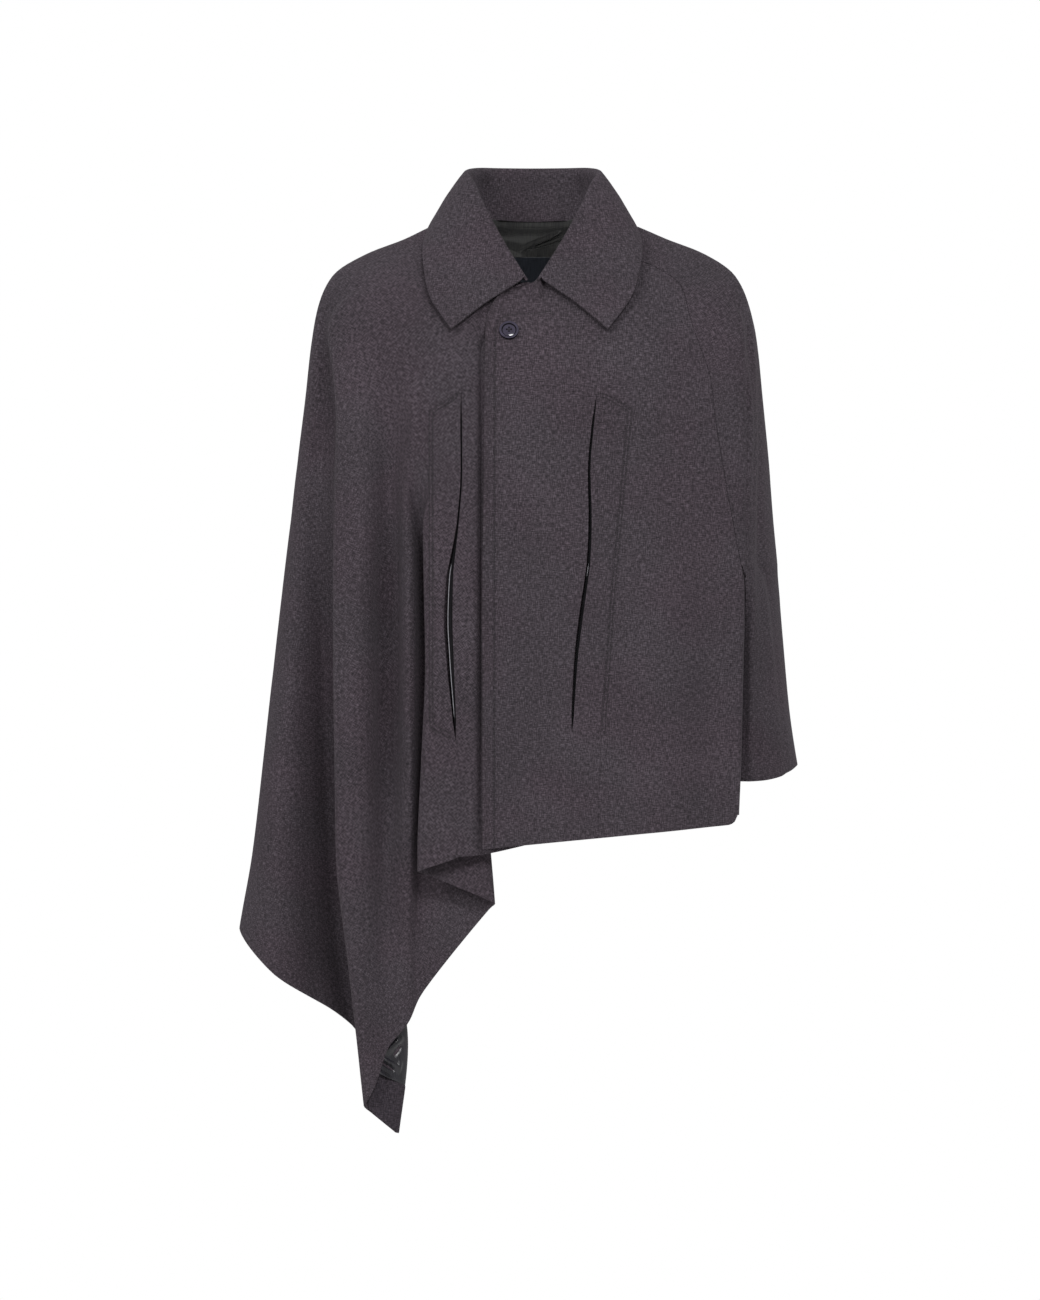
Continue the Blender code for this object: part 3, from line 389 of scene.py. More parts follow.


def melton(name, grooves=(), dark=WOOL_DARK, mid=WOOL_MID, light=WOOL_LIGHT):
    """Material of the milled wool, on the flat cut's own coordinates, sunk along its sewing, with painted
    shade darkening its colour in each groove.
    """
    material = bpy.data.materials.new(name)
    material.use_nodes = True
    tree = material.node_tree
    shader = tree.nodes["Principled BSDF"]
    cut = add(tree, "ShaderNodeUVMap", uv_map="cut").outputs["UV"]
    mm = 1 / MM
    warp = add(tree, "ShaderNodeMapping", {"Scale": (mm / THREAD, mm / THREAD_RUN, 1)}, {"Vector": cut})
    weft = add(tree, "ShaderNodeMapping", {"Scale": (mm / THREAD_RUN, mm / THREAD, 1),
                                           "Location": (31, 17, 0)}, {"Vector": cut})
    warp_threads = add(tree, "ShaderNodeTexNoise", {"Scale": 1, "Detail": 1, "Roughness": 0.5},
                       {"Vector": warp.outputs[0]}, noise_dimensions="2D")
    weft_threads = add(tree, "ShaderNodeTexNoise", {"Scale": 1, "Detail": 1, "Roughness": 0.5},
                       {"Vector": weft.outputs[0]}, noise_dimensions="2D")
    fibres = add(tree, "ShaderNodeTexNoise", {"Scale": mm / FLECK, "Detail": 3, "Roughness": 0.75},
                 {"Vector": cut}, noise_dimensions="2D")
    clouds = add(tree, "ShaderNodeTexNoise", {"Scale": mm / CLOUD, "Detail": 2}, {"Vector": cut},
                 noise_dimensions="2D")
    threads = add(tree, "ShaderNodeMath", links={0: warp_threads.outputs[0], 1: weft_threads.outputs[0]},
                  operation="ADD")
    weave = add(tree, "ShaderNodeMath", {1: 0.34}, {0: threads.outputs[0]}, operation="MULTIPLY")
    nap = add(tree, "ShaderNodeMath", {1: 0.32}, {0: fibres.outputs[0], 2: weave.outputs[0]},
              operation="MULTIPLY_ADD")
    shade = add(tree, "ShaderNodeMath", {1: 0.07, 2: -0.035}, {0: clouds.outputs[0]},
                operation="MULTIPLY_ADD")
    tone = add(tree, "ShaderNodeMath", links={0: nap.outputs[0], 1: shade.outputs[0]}, operation="ADD")
    ramp = add(tree, "ShaderNodeValToRGB", links={"Fac": tone.outputs[0]})
    stops = ramp.color_ramp.elements
    stops[0].position, stops[0].color = 0.345, linear(dark)
    stops[1].position, stops[1].color = 0.655, linear(light)
    middle = stops.new(0.5)
    middle.color = linear(mid)
    patches = add(tree, "ShaderNodeTexNoise", {"Scale": mm / PATCH, "Detail": 2}, {"Vector": cut},
                  noise_dimensions="2D")
    cast = add(tree, "ShaderNodeValToRGB", links={"Fac": patches.outputs[0]})
    for stop, place, tint in zip(cast.color_ramp.elements, (0.38, 0.62), CASTS):
        stop.position, stop.color = place, tint
    colour = add(tree, "ShaderNodeVectorMath", links={0: ramp.outputs["Color"], 1: cast.outputs["Color"]},
                 operation="MULTIPLY").outputs[0]
    relief = add(tree, "ShaderNodeBump", {"Strength": 0.55, "Distance": 0.7 * MM},
                 {"Height": nap.outputs[0]})
    for groove in grooves:
        apart = add(tree, "ShaderNodeAttribute", attribute_name=groove)
        width = add(tree, "ShaderNodeMath", links={0: apart.outputs["Fac"]}, operation="ABSOLUTE")
        height = add(tree, "ShaderNodeMapRange", {"From Min": 0, "From Max": GROOVE * MM},
                     {"Value": width.outputs[0]}, interpolation_type="SMOOTHSTEP")
        relief = add(tree, "ShaderNodeBump", {"Strength": 0.9, "Distance": 1.3 * MM},
                     {"Height": height.outputs[0], "Normal": relief.outputs["Normal"]})
        # Painted shade: the colour is drawn darker towards the middle of each stitch groove
        painted_groove_shade = add(tree, "ShaderNodeMapRange", {"From Min": 0, "From Max": GROOVE / 2 * MM,
                                                   "To Min": GROOVE_PAINTED_SHADE, "To Max": 1},
                      {"Value": width.outputs[0]}, interpolation_type="SMOOTHSTEP")
        colour = add(tree, "ShaderNodeVectorMath", links={0: colour, 1: painted_groove_shade.outputs[0]},
                     operation="MULTIPLY").outputs[0]
    tree.links.new(colour, shader.inputs["Base Color"])
    tree.links.new(relief.outputs["Normal"], shader.inputs["Normal"])
    shader.inputs["Roughness"].default_value = 0.92
    shader.inputs["Specular IOR Level"].default_value = 0.25
    shader.inputs["Sheen Weight"].default_value = 0.12
    shader.inputs["Sheen Roughness"].default_value = 0.6
    shader.inputs["Sheen Tint"].default_value = linear("#b9aeb8")
    return material


# Polyester topstitching in the cloth's own grey: each stitch lies in a shallow groove. The
# thread is 0.4 mm thick; it is drawn 1 mm thick so that it shows at this size.
STITCH = 4.0                   # mm from one needle hole to the next
STITCH_LENGTH = 3.1
STITCH_RADIUS = 0.5
THREAD_GREY = "#1d191d"
bpy.ops.object.select_all(action="DESELECT")
bpy.ops.mesh.primitive_uv_sphere_add(segments=6, ring_count=4, radius=STITCH_RADIUS * MM)
one_stitch = bpy.context.active_object
bpy.ops.object.mode_set(mode="EDIT")
bpy.ops.transform.resize(value=(STITCH_LENGTH / 2 / STITCH_RADIUS, 1, 0.8))
bpy.ops.object.mode_set(mode="OBJECT")
stitch_points = np.array([vertex.co for vertex in one_stitch.data.vertices])
stitch_faces = [tuple(face.vertices) for face in one_stitch.data.polygons]
bpy.data.objects.remove(one_stitch)
thread = bpy.data.materials.new("polyester_thread_twisted")
thread.use_nodes = True
twist = add(thread.node_tree, "ShaderNodeTexNoise", {"Scale": 1 / (0.6 * MM), "Detail": 1})
ply = add(thread.node_tree, "ShaderNodeValToRGB", links={"Fac": twist.outputs[0]})
ply.color_ramp.elements[0].color = linear(THREAD_GREY)
ply.color_ramp.elements[1].color = linear("#2f2a2f")
thread.node_tree.links.new(ply.outputs[0], thread.node_tree.nodes["Principled BSDF"].inputs["Base Color"])
thread.node_tree.nodes["Principled BSDF"].inputs["Roughness"].default_value = 0.6


def sewn_line(points):
    """A row of stitches seen from the front: its corners in mm, rounded and closely spaced."""
    flat = [(x * MM, 0, z * MM) for x, z in points]
    return through(flat, [10] * (len(flat) - 1))[:, (0, 2)]


def mark_line(obj, name, path):
    """Give each vertex its signed distance from a row of stitches, for the groove."""
    count = len(obj.data.vertices)
    place = np.empty(count * 3)
    obj.data.vertices.foreach_get("co", place)
    place = place.reshape(-1, 3)
    spot = place[:, (0, 2)]
    best = np.full(count, np.inf)
    signed = np.zeros(count)
    last = len(path) - 2
    for k, (start, end) in enumerate(zip(path[:-1], path[1:])):
        run = end - start
        away = spot - start
        share = away @ run / (run @ run)
        beyond = (share < 0) & (k == 0) | (share > 1) & (k == last)
        share = np.clip(share, 0, 1)
        offset = away - share[:, None] * run
        far = np.linalg.norm(offset, axis=1)
        side = np.sign(run[0] * away[:, 1] - run[1] * away[:, 0])
        closer = far < best
        best[closer] = far[closer]
        signed[closer] = (far * side + GROOVE_END * side * beyond)[closer]
    signed[place[:, 1] > 0] = 1.0
    attribute = obj.data.attributes.new(name, "FLOAT", "POINT")
    attribute.data.foreach_set("value", signed.astype(np.float32))


def sew(name, obj, path):
    """Stitches along a line on the front of a panel, as one piece of thread."""
    surface = BVHTree.FromPolygons([vertex.co for vertex in obj.data.vertices],
                                   [tuple(face.vertices) for face in obj.data.polygons])
    run = np.concatenate(((0,), np.cumsum(np.linalg.norm(np.diff(path, axis=0), axis=1))))
    points, faces = [], []
    for at in np.arange(STITCH * MM / 2, run[-1], STITCH * MM):
        ends = []
        for shift in (-0.4 * MM, 0.4 * MM):
            x, z = (np.interp(at + shift, run, path[:, k]) for k in (0, 1))
            hit, normal = surface.ray_cast(Vector((x, -1, z)), Vector((0, 1, 0)))[:2]
            ends.append((hit, normal))
        if ends[0][0] is None or ends[1][0] is None:
            continue
        along = (ends[1][0] - ends[0][0]).normalized()
        normal = ends[0][1]
        across = normal.cross(along).normalized()
        middle = (ends[0][0] + ends[1][0]) / 2
        frame_of_stitch = np.array((along, across, normal))
        faces += [tuple(k + len(points) * len(stitch_points) for k in face) for face in stitch_faces]
        points.append(stitch_points @ frame_of_stitch + np.array(middle))
    mesh = bpy.data.meshes.new(name)
    mesh.from_pydata(np.vstack(points).tolist(), [], faces)
    row = bpy.data.objects.new(name, mesh)
    bpy.context.collection.objects.link(row)
    mesh.shade_smooth()
    mesh.materials.append(thread)
    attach(row, "root")
    return row


def panel(name, grid, missing, node, grain, bias=0.0, sewing=None, thick=CLOTH,
          material=None):
    obj, place = sheet_mesh(name, grid, missing)
    rows = grid.shape[1]
    width, length, area = lay_flat(obj, place[grain[0] * rows + grain[1]],
                                   place[grain[2] * rows + grain[3]], bias)
    thicken(obj, thick, 0.375 * thick)
    for row_name, points in (sewing or {}).items():
        path = sewn_line(points)
        mark_line(obj, row_name, path)
        sew(name + "_" + row_name, obj, path)
    obj.data.materials.append(material or melton("melton_wool_milled_" + name, tuple(sewing or ())))
    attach(obj, "root")
    if node:
        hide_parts(node)
    print(name, "cut", round(width, 3), round(length, 3), "area", round(area, 4))
    return obj


# Rows of stitches, as places across and up in mm: along the placket and round its corner,
# and a double row round the reinforcement of the arm slit
LEFT_SEWING = {
    "placket_row": ((-40.5, -641), (-40.3, -400), (-39.8, -200), (-38.9, -105), (-37.5, -95.5),
                    (-33, -88.5), (-24, -85.5), (1, -84), (20, -81)),
    "slit_row": ((66.5, -169), (76, -170.5), (78, -171.5), (101.5, -184.8), (102.8, -186.5),
                 (102.4, -190), (96, -257), (89.5, -326), (84, -386), (80, -447), (75.5, -507),
                 (74.6, -524)),
    "slit_row_inside": ((69, -172.2), (75.5, -173.6), (77, -174.4), (98, -186.4), (99.3, -188.2),
                        (99, -191), (93, -257), (86.5, -326), (81, -386), (77, -447), (72.5, -507),
                        (71.9, -522)),
}


# The hanging cloth is never flat: shallow folds, and a short sharp one beside the neck
LEFT_FOLDS = (
    ((7, -46), (2.6, -74), -7.0, 2.8), ((14, -36), (9, -66), 0.9, 3.5), ((-8, -48), (-3, -66), 0.8, 4),
    ((-20, -150), (6, -640), 1.3, 26), ((24, -230), (34, -700), -1.2, 22),
    ((120, -120), (150, -420), 1.8, 26), ((150, -280), (140, -700), -2.2, 24),
    ((186, -330), (176, -700), 2.4, 20), ((92, -420), (106, -700), 1.6, 20),
    ((96, -80), (150, -210), -1.4, 16),
)
left_rows = rows_of(0, ROWS, 6)
left_grid = np.array([left_front_row(row) for row in left_rows]).transpose(1, 0, 2)
slit_column = LEFT_STEPS[0]
turn_column = sum(LEFT_STEPS)
left_missing = [(slit_column, j) for j in range(SLIT_TOP * 6, SLIT_FOOT * 6)]
left_missing += [(turn_column + k, j) for k in range(SIDE_STEPS) for j in range(UNDERARM * 6)]
left_grid = crease(left_grid, LEFT_FOLDS, seams=(turn_column,))
left_front = panel("left_front_panel", left_grid, left_missing, "front_left",
                   (24, 12, 24, len(left_rows) - 1), sewing=LEFT_SEWING)

# ---------------------------------------------------------------- right front and drape
# The wearer's right front and cape side in one piece of the same wool, cut on the bias.
# It hangs in a soft pleat beside the placket and a deep fold behind it, and ends in a
# handkerchief point; an underlap runs behind the placket, and an arm slit mirrors the left.
OVERLAP = 4.0 * MM
PLACKET_SINK = 1.2 * MM
SLIT_IN_SINK = 2.8 * MM        # the cloth comes forward again across its arm slit
SLIT_OUT_SINK = 2.0 * MM
FOLD_HEIGHTS = (-300, -360, -450, -550, -650, -750, -850, -950)
FOLD_RIBS = {
    "pleat_a": ((-109, -108, -107, -110.5, -114, -114, -114, -114),
                (-127, -126.5, -126, -126, -127, -127, -127, -127)),
    "pleat": ((-114, -113, -111.5, -115.5, -119.5, -119.5, -119.5, -119.5),
              (-124, -121, -120, -120, -120.5, -120.5, -120.5, -120.5)),
    "pleat_b": ((-111, -108, -106, -110, -114, -114, -114, -114),
                (-119.5, -115, -114, -114, -114, -114, -114, -114)),
    "under_a": ((-107, -90, -78, -66, -51, -45, -45, -45),
                (-116.5, -112, -112, -112, -112.5, -112.5, -112.5, -112.5)),
    "under": ((-106, -85, -72, -60, -45, -39, -39, -39),
              (-113, -106.5, -106, -106, -106.5, -106.5, -106.5, -106.5)),
    "under_b": ((-110, -91, -77, -65, -50, -44, -44, -44),
                (-108, -100.5, -100, -99.5, -100, -100, -100, -100)),
    "behind": ((-119, -116.5, -115, -116, -118, -119, -119, -119),
               (-101, -90, -87, -84, -81, -80, -80, -80)),
    "roll": ((-131, -129, -128.5, -128, -130, -132, -132, -132),
             (-113, -113, -111, -105, -96, -89, -87, -86)),
    "valley": ((-149, -151, -152, -152, -152, -152, -152, -152),
               (-93, -81, -76, -76, -79, -83, -86, -86)),
    "slope": ((-180, -180, -180, -178, -175, -170, -163, -158),
              (-108, -106.5, -104, -101, -98, -95, -91, -88)),
    "ridge_a": ((-198, -199, -199, -197, -196, -186, -176, -166),
                (-104, -104, -104, -104, -103, -101, -97, -92)),
    "ridge": ((-206, -207, -207, -206, -204.5, -194, -183, -172),
              (-98, -98, -98, -98, -97, -95, -91, -87)),
    "ridge_b": ((-207, -207, -205, -203, -200, -188, -177, -165),
                (-90, -90, -88, -87, -86, -84, -81, -79)),
    "point_a": ((-206, -202, -196, -188, -177, -158, -140, -150),
                (-78, -76, -74, -72, -70, -69, -68, -70)),
    "point": ((-206, -200, -190, -180, -168, -149, -132.5, -143),
              (-66, -63, -60, -58, -57, -57, -58, -62)),
    "point_b": ((-211, -206, -197, -188, -177, -158, -140, -149),
                (-50, -44, -38, -34, -31, -34, -42, -50)),
    "outer_a": ((-226, -224, -222, -218, -214, -206, -185, -172),
                (-37, -29, -18, -8, 0, 6, 6, 0)),
    "outer_b": ((-243, -248, -255, -262, -268, -272, -272, -272),
                (-31, -32, -33, -34, -35, -36, -36, -36)),
    "contour": ((-253.5, -261, -272, -283, -295, -312, -320, -325),
                (-5, -3, -2, 0, 2, 4, 4, 4)),
    "side_seam": ((-244, -250, -259, -268, -279, -292, -300, -305),
                  (45, 47, 50, 52, 54, 56, 57, 57)),
}
# Above the folds each rib runs at a share of the half width, given by its place on the
# chest. The ridge sets in from the shoulder, the pleat beside the placket lower down; the
# values are how far they have set in, one for each section down to the chest.
FOLD_PLAIN = {"pleat_a": -100, "pleat": -105, "pleat_b": -109, "under_a": -113, "under": -118,
              "under_b": -123, "behind": -131, "roll": -141, "valley": -153, "slope": -180,
              "ridge_a": -198, "ridge": -206, "ridge_b": -207, "point_a": -207.5, "point": -209,
              "point_b": -214, "outer_a": -226, "outer_b": -242, "contour": -253.5,
              "side_seam": -244}
RIDGE_START = (0, 0, 0, 0, 0.15, 0.55, 0.85, 1, 1, 1)
PLEAT_ACROSS = (0, 0, 0, 0, 0, 0, 0, 0, 0.1, 1)
PLEAT_DEPTH = (0, 0, 0, 0, 0, 0, 0, 0.06, 0.35, 1)
VALLEY_START = (0, 0, 0, 0, 0, 0.1, 0.35, 0.65, 0.85, 1)
PLEAT_RIBS = ("pleat_a", "pleat", "pleat_b", "under_a", "under", "under_b", "behind")
VALLEY_RIBS = ("roll", "valley", "slope")
# Towards the shoulder the ridge leans out, by these shares of the half width, and takes
# the ribs beside it along
RIDGE_LEAN = (0.05, 0.06, 0.07, 0.09, 0.115, 0.13, 0.08, 0.04, 0.013, 0)
LEAN_SHARE = {"behind": 0.3, "roll": 0.45, "valley": 0.6, "slope": 0.9, "ridge_a": 0.98,
              "ridge": 1, "ridge_b": 1, "point_a": 1, "point": 0.98, "point_b": 0.88,
              "outer_a": 0.62, "outer_b": 0.25}
RIGHT_HEM = {
    "underlap": -630, "placket": -649, "slit_in": -652, "slit_out": -653,
    "pleat_a": -664.5, "pleat": -667, "pleat_b": -669, "under_a": -697, "under": -701,
    "under_b": -706, "behind": -800, "roll": -828, "valley": -853, "slope": -880, "ridge_a": -903,
    "ridge": -912.5, "ridge_b": -921, "point_a": -938, "point": -943, "point_b": -932,
    "outer_a": -838, "outer_b": -778, "contour": -731, "side_seam": -722,
}
UNDERLAP_EDGE = (8, 16, 22, 27, 29, 30, 30, 30, 30, 30, 30, 30, 30, 30, 30, 30, 30)
RIGHT_PLACKET = (-10, -28, -39, -46, -50, -52, -52, -52, -52, -52, -52, -52, -52, -52, -52, -52, -52)
RIGHT_SLIT = (-21, -34, -46.5, -58.5, -67.5, -72.5, -75.3, -75, -74.8, -78.2, -85, -86.8, -88.6,
              -86.4, -80.5, -80.5, -80.5)
RIGHT_OPEN = (1, 1, 1, 1, 1, 1, 1.6, 1.8, 1.8, 2.2, 5.6, 7, 9.2, 7.6, 1.8, 1, 1)
# Columns between one rib and the next, closer together where the cloth turns
RIGHT_STEPS = {"underlap": 14, "placket": 14, "slit_in": 1, "slit_out": 5, "pleat_a": 3, "pleat": 3,
               "pleat_b": 10, "under_a": 3, "under": 3, "under_b": 10, "behind": 6, "roll": 5, "valley": 6,
               "slope": 5, "ridge_a": 4, "ridge": 4, "ridge_b": 6, "point_a": 4, "point": 4,
               "point_b": 8, "outer_a": 14, "outer_b": 10, "contour": 10}


def fold_rib(name, level):
    """A rib of the folds, sunk into the plain section above the folds."""
    across, depth = FOLD_RIBS[name]
    chest_half = section(CHEST)["right"]
    if level >= CHEST:
        z = on_body(level, 0.0)[2] / MM
        keys = [-h for h in FOLD_HEIGHTS]
        return np.array((smooth(keys, across, -z), smooth(keys, depth, -z), z)) * MM
    share = max(FOLD_PLAIN[name] * MM / chest_half, -1.0)
    starts = (RIDGE_START, RIDGE_START, RIDGE_START)
    if name in PLEAT_RIBS:
        starts = (PLEAT_ACROSS, PLEAT_DEPTH, PLEAT_DEPTH)
    if name in VALLEY_RIBS:
        starts = (VALLEY_START, VALLEY_START, VALLEY_START)
    rear = depth[0] > 0
    lean = smooth(range(len(RIDGE_LEAN)), RIDGE_LEAN, level) * LEAN_SHARE.get(name, 0)
    plain = on_body(level, (share - lean) * section(level)["right"], rear)
    plain_low = on_body(CHEST, share * chest_half, rear)
    moved = np.array((across[0] * MM, depth[0] * MM, plain_low[2])) - plain_low
    return plain + moved * [smooth(range(len(start)), start, level) for start in starts]


def right_front_point(name, row):
    """Middle of the cloth of one rib of the right front at a row."""
    level = rib_level(row, RIGHT_HEM[name] * MM)
    slit = lips(RIGHT_SLIT, RIGHT_OPEN, row, level)
    slit = slit[::-1]
    lines = {"underlap": (line(UNDERLAP_EDGE, level), OVERLAP),
             "placket": (line(RIGHT_PLACKET, level), OVERLAP + PLACKET_SINK),
             "slit_in": (slit[0], SLIT_IN_SINK), "slit_out": (slit[1], SLIT_OUT_SINK)}
    if name in lines:
        x, sink = lines[name]
        return on_body(level, x) + np.array((0, sink, 0))
    point = fold_rib(name, level)
    if name == "side_seam":
        point[1] -= SEAM / 2
    return point


RIGHT_SEWING = {
    "slit_row": ((-75.5, -168), (-78, -169.2), (-105.6, -186.4), (-107.6, -188.6), (-108, -192),
                 (-108, -350), (-107.6, -512), (-107, -515.5), (-105, -518), (-84, -530)),
    "slit_row_inside": ((-78, -173), (-80, -174), (-102.6, -188.4), (-104.4, -190.4),
                        (-104.8, -194), (-104.8, -350), (-104.3, -509), (-103.8, -512.5),
                        (-102, -514.6), (-84.5, -524.5)),
}
right_rows = rows_of(0, ROWS, 6)
right_grid = np.array([through([right_front_point(name, row) for name in RIGHT_HEM],
                               RIGHT_STEPS.values()) for row in right_rows]).transpose(1, 0, 2)
right_slit_column = RIGHT_STEPS["underlap"] + RIGHT_STEPS["placket"]
right_missing = [(right_slit_column, j) for j in range(SLIT_TOP * 6, SLIT_FOOT * 6)]
RIGHT_FOLDS = (
    ((-54, -60), (-55, -700), -8.0, 3.4), ((-151, -210), (-153, -660), -12.0, 10),
    ((-150, -70), (-196, -300), 1.6, 20), ((-104, -90), (-130, -330), -1.4, 18),
    ((-236, -240), (-250, -860), 5.0, 22), ((-26, -58), (-56, -124), -6.0, 3.2),
    ((-262, -460), (-290, -760), 1.8, 14), ((-182, -420), (-186, -760), 1.2, 14),
    ((-160, -560), (-170, -880), -1.4, 12), ((-224, -600), (-214, -860), 1.8, 14),
    ((-96, -200), (-100, -420), 1.0, 9),
)
right_grid = crease(right_grid, RIGHT_FOLDS, seams=(len(right_grid) - 1,))
right_front = panel("right_front_drape", right_grid, right_missing, "front_right",
                    (32, 12, 32, len(right_rows) - 1), bias=45, sewing=RIGHT_SEWING)

# --------------------------------------------------------------------------------- back
# The back is one plain panel of the same wool from the raglan seam on the left to the side
# seam on the right, where it follows the drape. Soft folds open towards its uneven hem.
BACK_RIBS = (
    (-0.78, -706, 9), (-0.56, -684, -8), (-0.36, -655, 8), (-0.16, -622, -7),
    (0.03, -604, 6), (0.24, -598, -6), (0.45, -596, 6), (0.66, -595, -3),
)
BACK_FULLNESS = (0, 5, COMMON, len(SECTIONS) - 1), (0, 0.05, 0.6, 1.3)
BACK_STEP = 10


def back_row(row):
    """Points of the back from the right side seam to the raglan seam, then round the side."""
    seam = right_front_point("side_seam", row) + np.array((0, SEAM, 0))
    points = [seam]
    for share, hem, swing in BACK_RIBS:
        level = rib_level(row, hem * MM)
        half = -fold_rib("side_seam", level)[0] if share < 0 else line(RAGLAN_BACK, level)
        loose = smooth(*BACK_FULLNESS, level)
        points.append(on_body(level, share * half, True) + np.array((0, swing * MM * loose, 0)))
    level = rib_level(row, LEFT_HEM["seam"] * MM)
    points.append(on_body(level, line(RAGLAN_BACK, level) - SEAM / 2, True))
    columns = list(through(points, [BACK_STEP] * (len(BACK_RIBS) + 1)))
    for step in range(1, SIDE_STEPS + 1):
        share = step / SIDE_STEPS
        point = body_side(max(level, UNDERARM), share, True)
        columns.append(point + np.array((0, SEAM / 2 * share, 0)))
    return columns


back_rows = rows_of(0, ROWS, 5)
back_grid = np.array([back_row(row) for row in back_rows]).transpose(1, 0, 2)
back_turn = BACK_STEP * (len(BACK_RIBS) + 1)
back_missing = [(back_turn + k, j) for k in range(SIDE_STEPS) for j in range(UNDERARM * 5)]
BACK_FOLDS = (
    ((-20, -90), (-60, -420), 2.2, 30), ((60, -120), (90, -460), -2.4, 32),
    ((-120, -60), (-190, -360), 2.4, 26), ((130, -80), (180, -380), 2.0, 24),
    ((10, -300), (30, -680), 2.6, 28), ((-150, -360), (-170, -760), -2.6, 26),
)
back = panel("back_panel", crease(back_grid, BACK_FOLDS, seams=(0, back_turn)), back_missing, "back",
             (50, 10, 50, len(back_rows) - 1))

# ------------------------------------------------------------------------- left cape sleeve
# A wide raglan sleeve of the same wool, cut like the side of a cape: it runs from the neck
# over the shoulder, is sewn to both fronts down to the underarm, and hangs free below it.
SLEEVE_ROWS = 9
SIDE_CLEAR = 3.8 * MM
SLEEVE_HEIGHTS = (-358, -382, -425, -500, -580)
SLEEVE_RIBS = {
    "crest_front": ((222.2, 223.4, 223.2, 221.5, 220), (-86, -78, -70, -63, -58)),
    "face": ((230.5, 233, 236, 239.5, 242.5), (-72, -69, -66, -60, -56)),
    "ridge": ((240, 245, 250, 256, 261), (-58, -54, -49, -44, -41)),
    "valley": ((244, 248.5, 253, 260, 267), (-44, -41, -38, -35, -33)),
    "turn": ((250, 254, 258, 266, 274), (-32, -28, -25, -24, -22)),
    "contour": ((258.3, 260.3, 264.6, 271.5, 283), (4, 5, 6, 7, 8)),
    "rear": ((248, 250, 254, 260, 269), (48, 49, 50, 51, 52)),
    "crest_back": ((221.5, 222.5, 224, 226, 228), (76, 76, 77, 78, 78)),
}
SLEEVE_HEM = {"inner": -574, "crest_front": -574, "face": -573, "ridge": -569, "valley": -566,
              "turn": -563,
              "contour": -557, "rear": -560, "crest_back": -566}
SLEEVE_RIDGE = (70, 100, 136, 171, 198, 219, 223.5, 225.5, 224.5, 224, 224, 224)
RIDGE_SETS_IN = (0, 0, 0, 0, 0.1, 0.5, 0.9, 1, 1, 1, 1, 1)
RIDGE_BESIDE = {"face": (0, -1.5), "ridge": (0.14, 8), "valley": (0.34, 14), "turn": (0.68, 12)}
SLEEVE_STEPS = (14, 8, 6, 6, 8, 8, 8)
INNER_SHARES = tuple(np.linspace(1, 0.07, 11))


def sleeve_point(name, row):
    """Middle of the cloth of one rib of the sleeve at a row."""
    if UNDERARM - 1 < row < UNDERARM:
        share = row - (UNDERARM - 1)
        return sleeve_point(name, UNDERARM - 1) * (1 - share) + sleeve_point(name, UNDERARM) * share
    if row < UNDERARM:
        level = float(row)
        left = section(level)["left"]
        front = line(RAGLAN_FRONT, level)
        rear = line(RAGLAN_BACK, level)
        ridge = line(SLEEVE_RIDGE, level)
        if name in RIDGE_BESIDE:
            share, sink = RIDGE_BESIDE[name]
            deep = np.array((0, sink * line(RIDGE_SETS_IN, level), 0))
            return on_body(level, ridge + (left - ridge) * share) + deep
        return {
            "crest_front": lambda: on_body(level, front + SEAM / 2),
            "contour": lambda: on_body(level, left),
            "rear": lambda: on_body(level, rear * 0.45 + left * 0.55, True),
            "crest_back": lambda: on_body(level, rear + SEAM / 2, True),
        }[name]()
    top = SLEEVE_HEIGHTS[0]
    z = top + (SLEEVE_HEM[name] - top) * (row - UNDERARM) / SLEEVE_ROWS
    across, depth = SLEEVE_RIBS[name]
    keys = [-h for h in SLEEVE_HEIGHTS]
    return np.array((smooth(keys, across, -z), smooth(keys, depth, -z), z)) * MM


def sleeve_inner(row, share, rear):
    """Inner side of the sleeve under the arm, just outside the body's side."""
    row = max(row, UNDERARM)
    crest = sleeve_point("crest_back" if rear else "crest_front", row)
    top = SLEEVE_HEIGHTS[0]
    z = (top + (SLEEVE_HEM["inner"] - top) * (row - UNDERARM) / SLEEVE_ROWS) * MM
    y = crest[1] * (1 - share)
    level = level_at(z)
    edge = on_body(level, line(RAGLAN_BACK if rear else RAGLAN_FRONT, level), rear)
    side = body_side(level, 1 - min(abs(y / edge[1]), 1.0), rear)
    return np.array((side[0] + SIDE_CLEAR, y, z))


def sleeve_row(row):
    """Points round the sleeve, from its seam under the arm, over the front and back to it."""
    front = [sleeve_inner(row, share, False) for share in INNER_SHARES]
    outer = through([sleeve_point(name, row) for name in SLEEVE_RIBS], SLEEVE_STEPS)
    rear = [sleeve_inner(row, share, True) for share in INNER_SHARES[::-1]]
    front[0][1] -= SEAM / 2
    rear[-1][1] += SEAM / 2
    return front + list(outer) + rear


sleeve_rows = rows_of(0, UNDERARM + SLEEVE_ROWS, 6)
sleeve_grid = np.array([sleeve_row(row) for row in sleeve_rows]).transpose(1, 0, 2)
inner_count = len(INNER_SHARES)
outer_last = inner_count + sum(SLEEVE_STEPS)
sleeve_ends = list(range(inner_count)) + list(range(outer_last, outer_last + inner_count))
sleeve_missing = [(column, j) for column in sleeve_ends for j in range(UNDERARM * 6)]
SLEEVE_FOLDS = (
    ((228.5, -350), (226, -600), -4.5, 6), ((224.5, -70), (223.5, -376), 2.4, 2.6),
    ((230, -90), (229, -376), -4.0, 3.6),
    ((150, -30), (216, -220), 1.4, 14), ((190, -60), (236, -260), -1.6, 14),
    ((236, -250), (252, -560), 1.6, 12), ((226, -330), (232, -590), -1.4, 9),
    ((262, -380), (276, -590), 1.2, 9),
)
sleeve_grid = crease(sleeve_grid, SLEEVE_FOLDS, seams=(inner_count, outer_last))
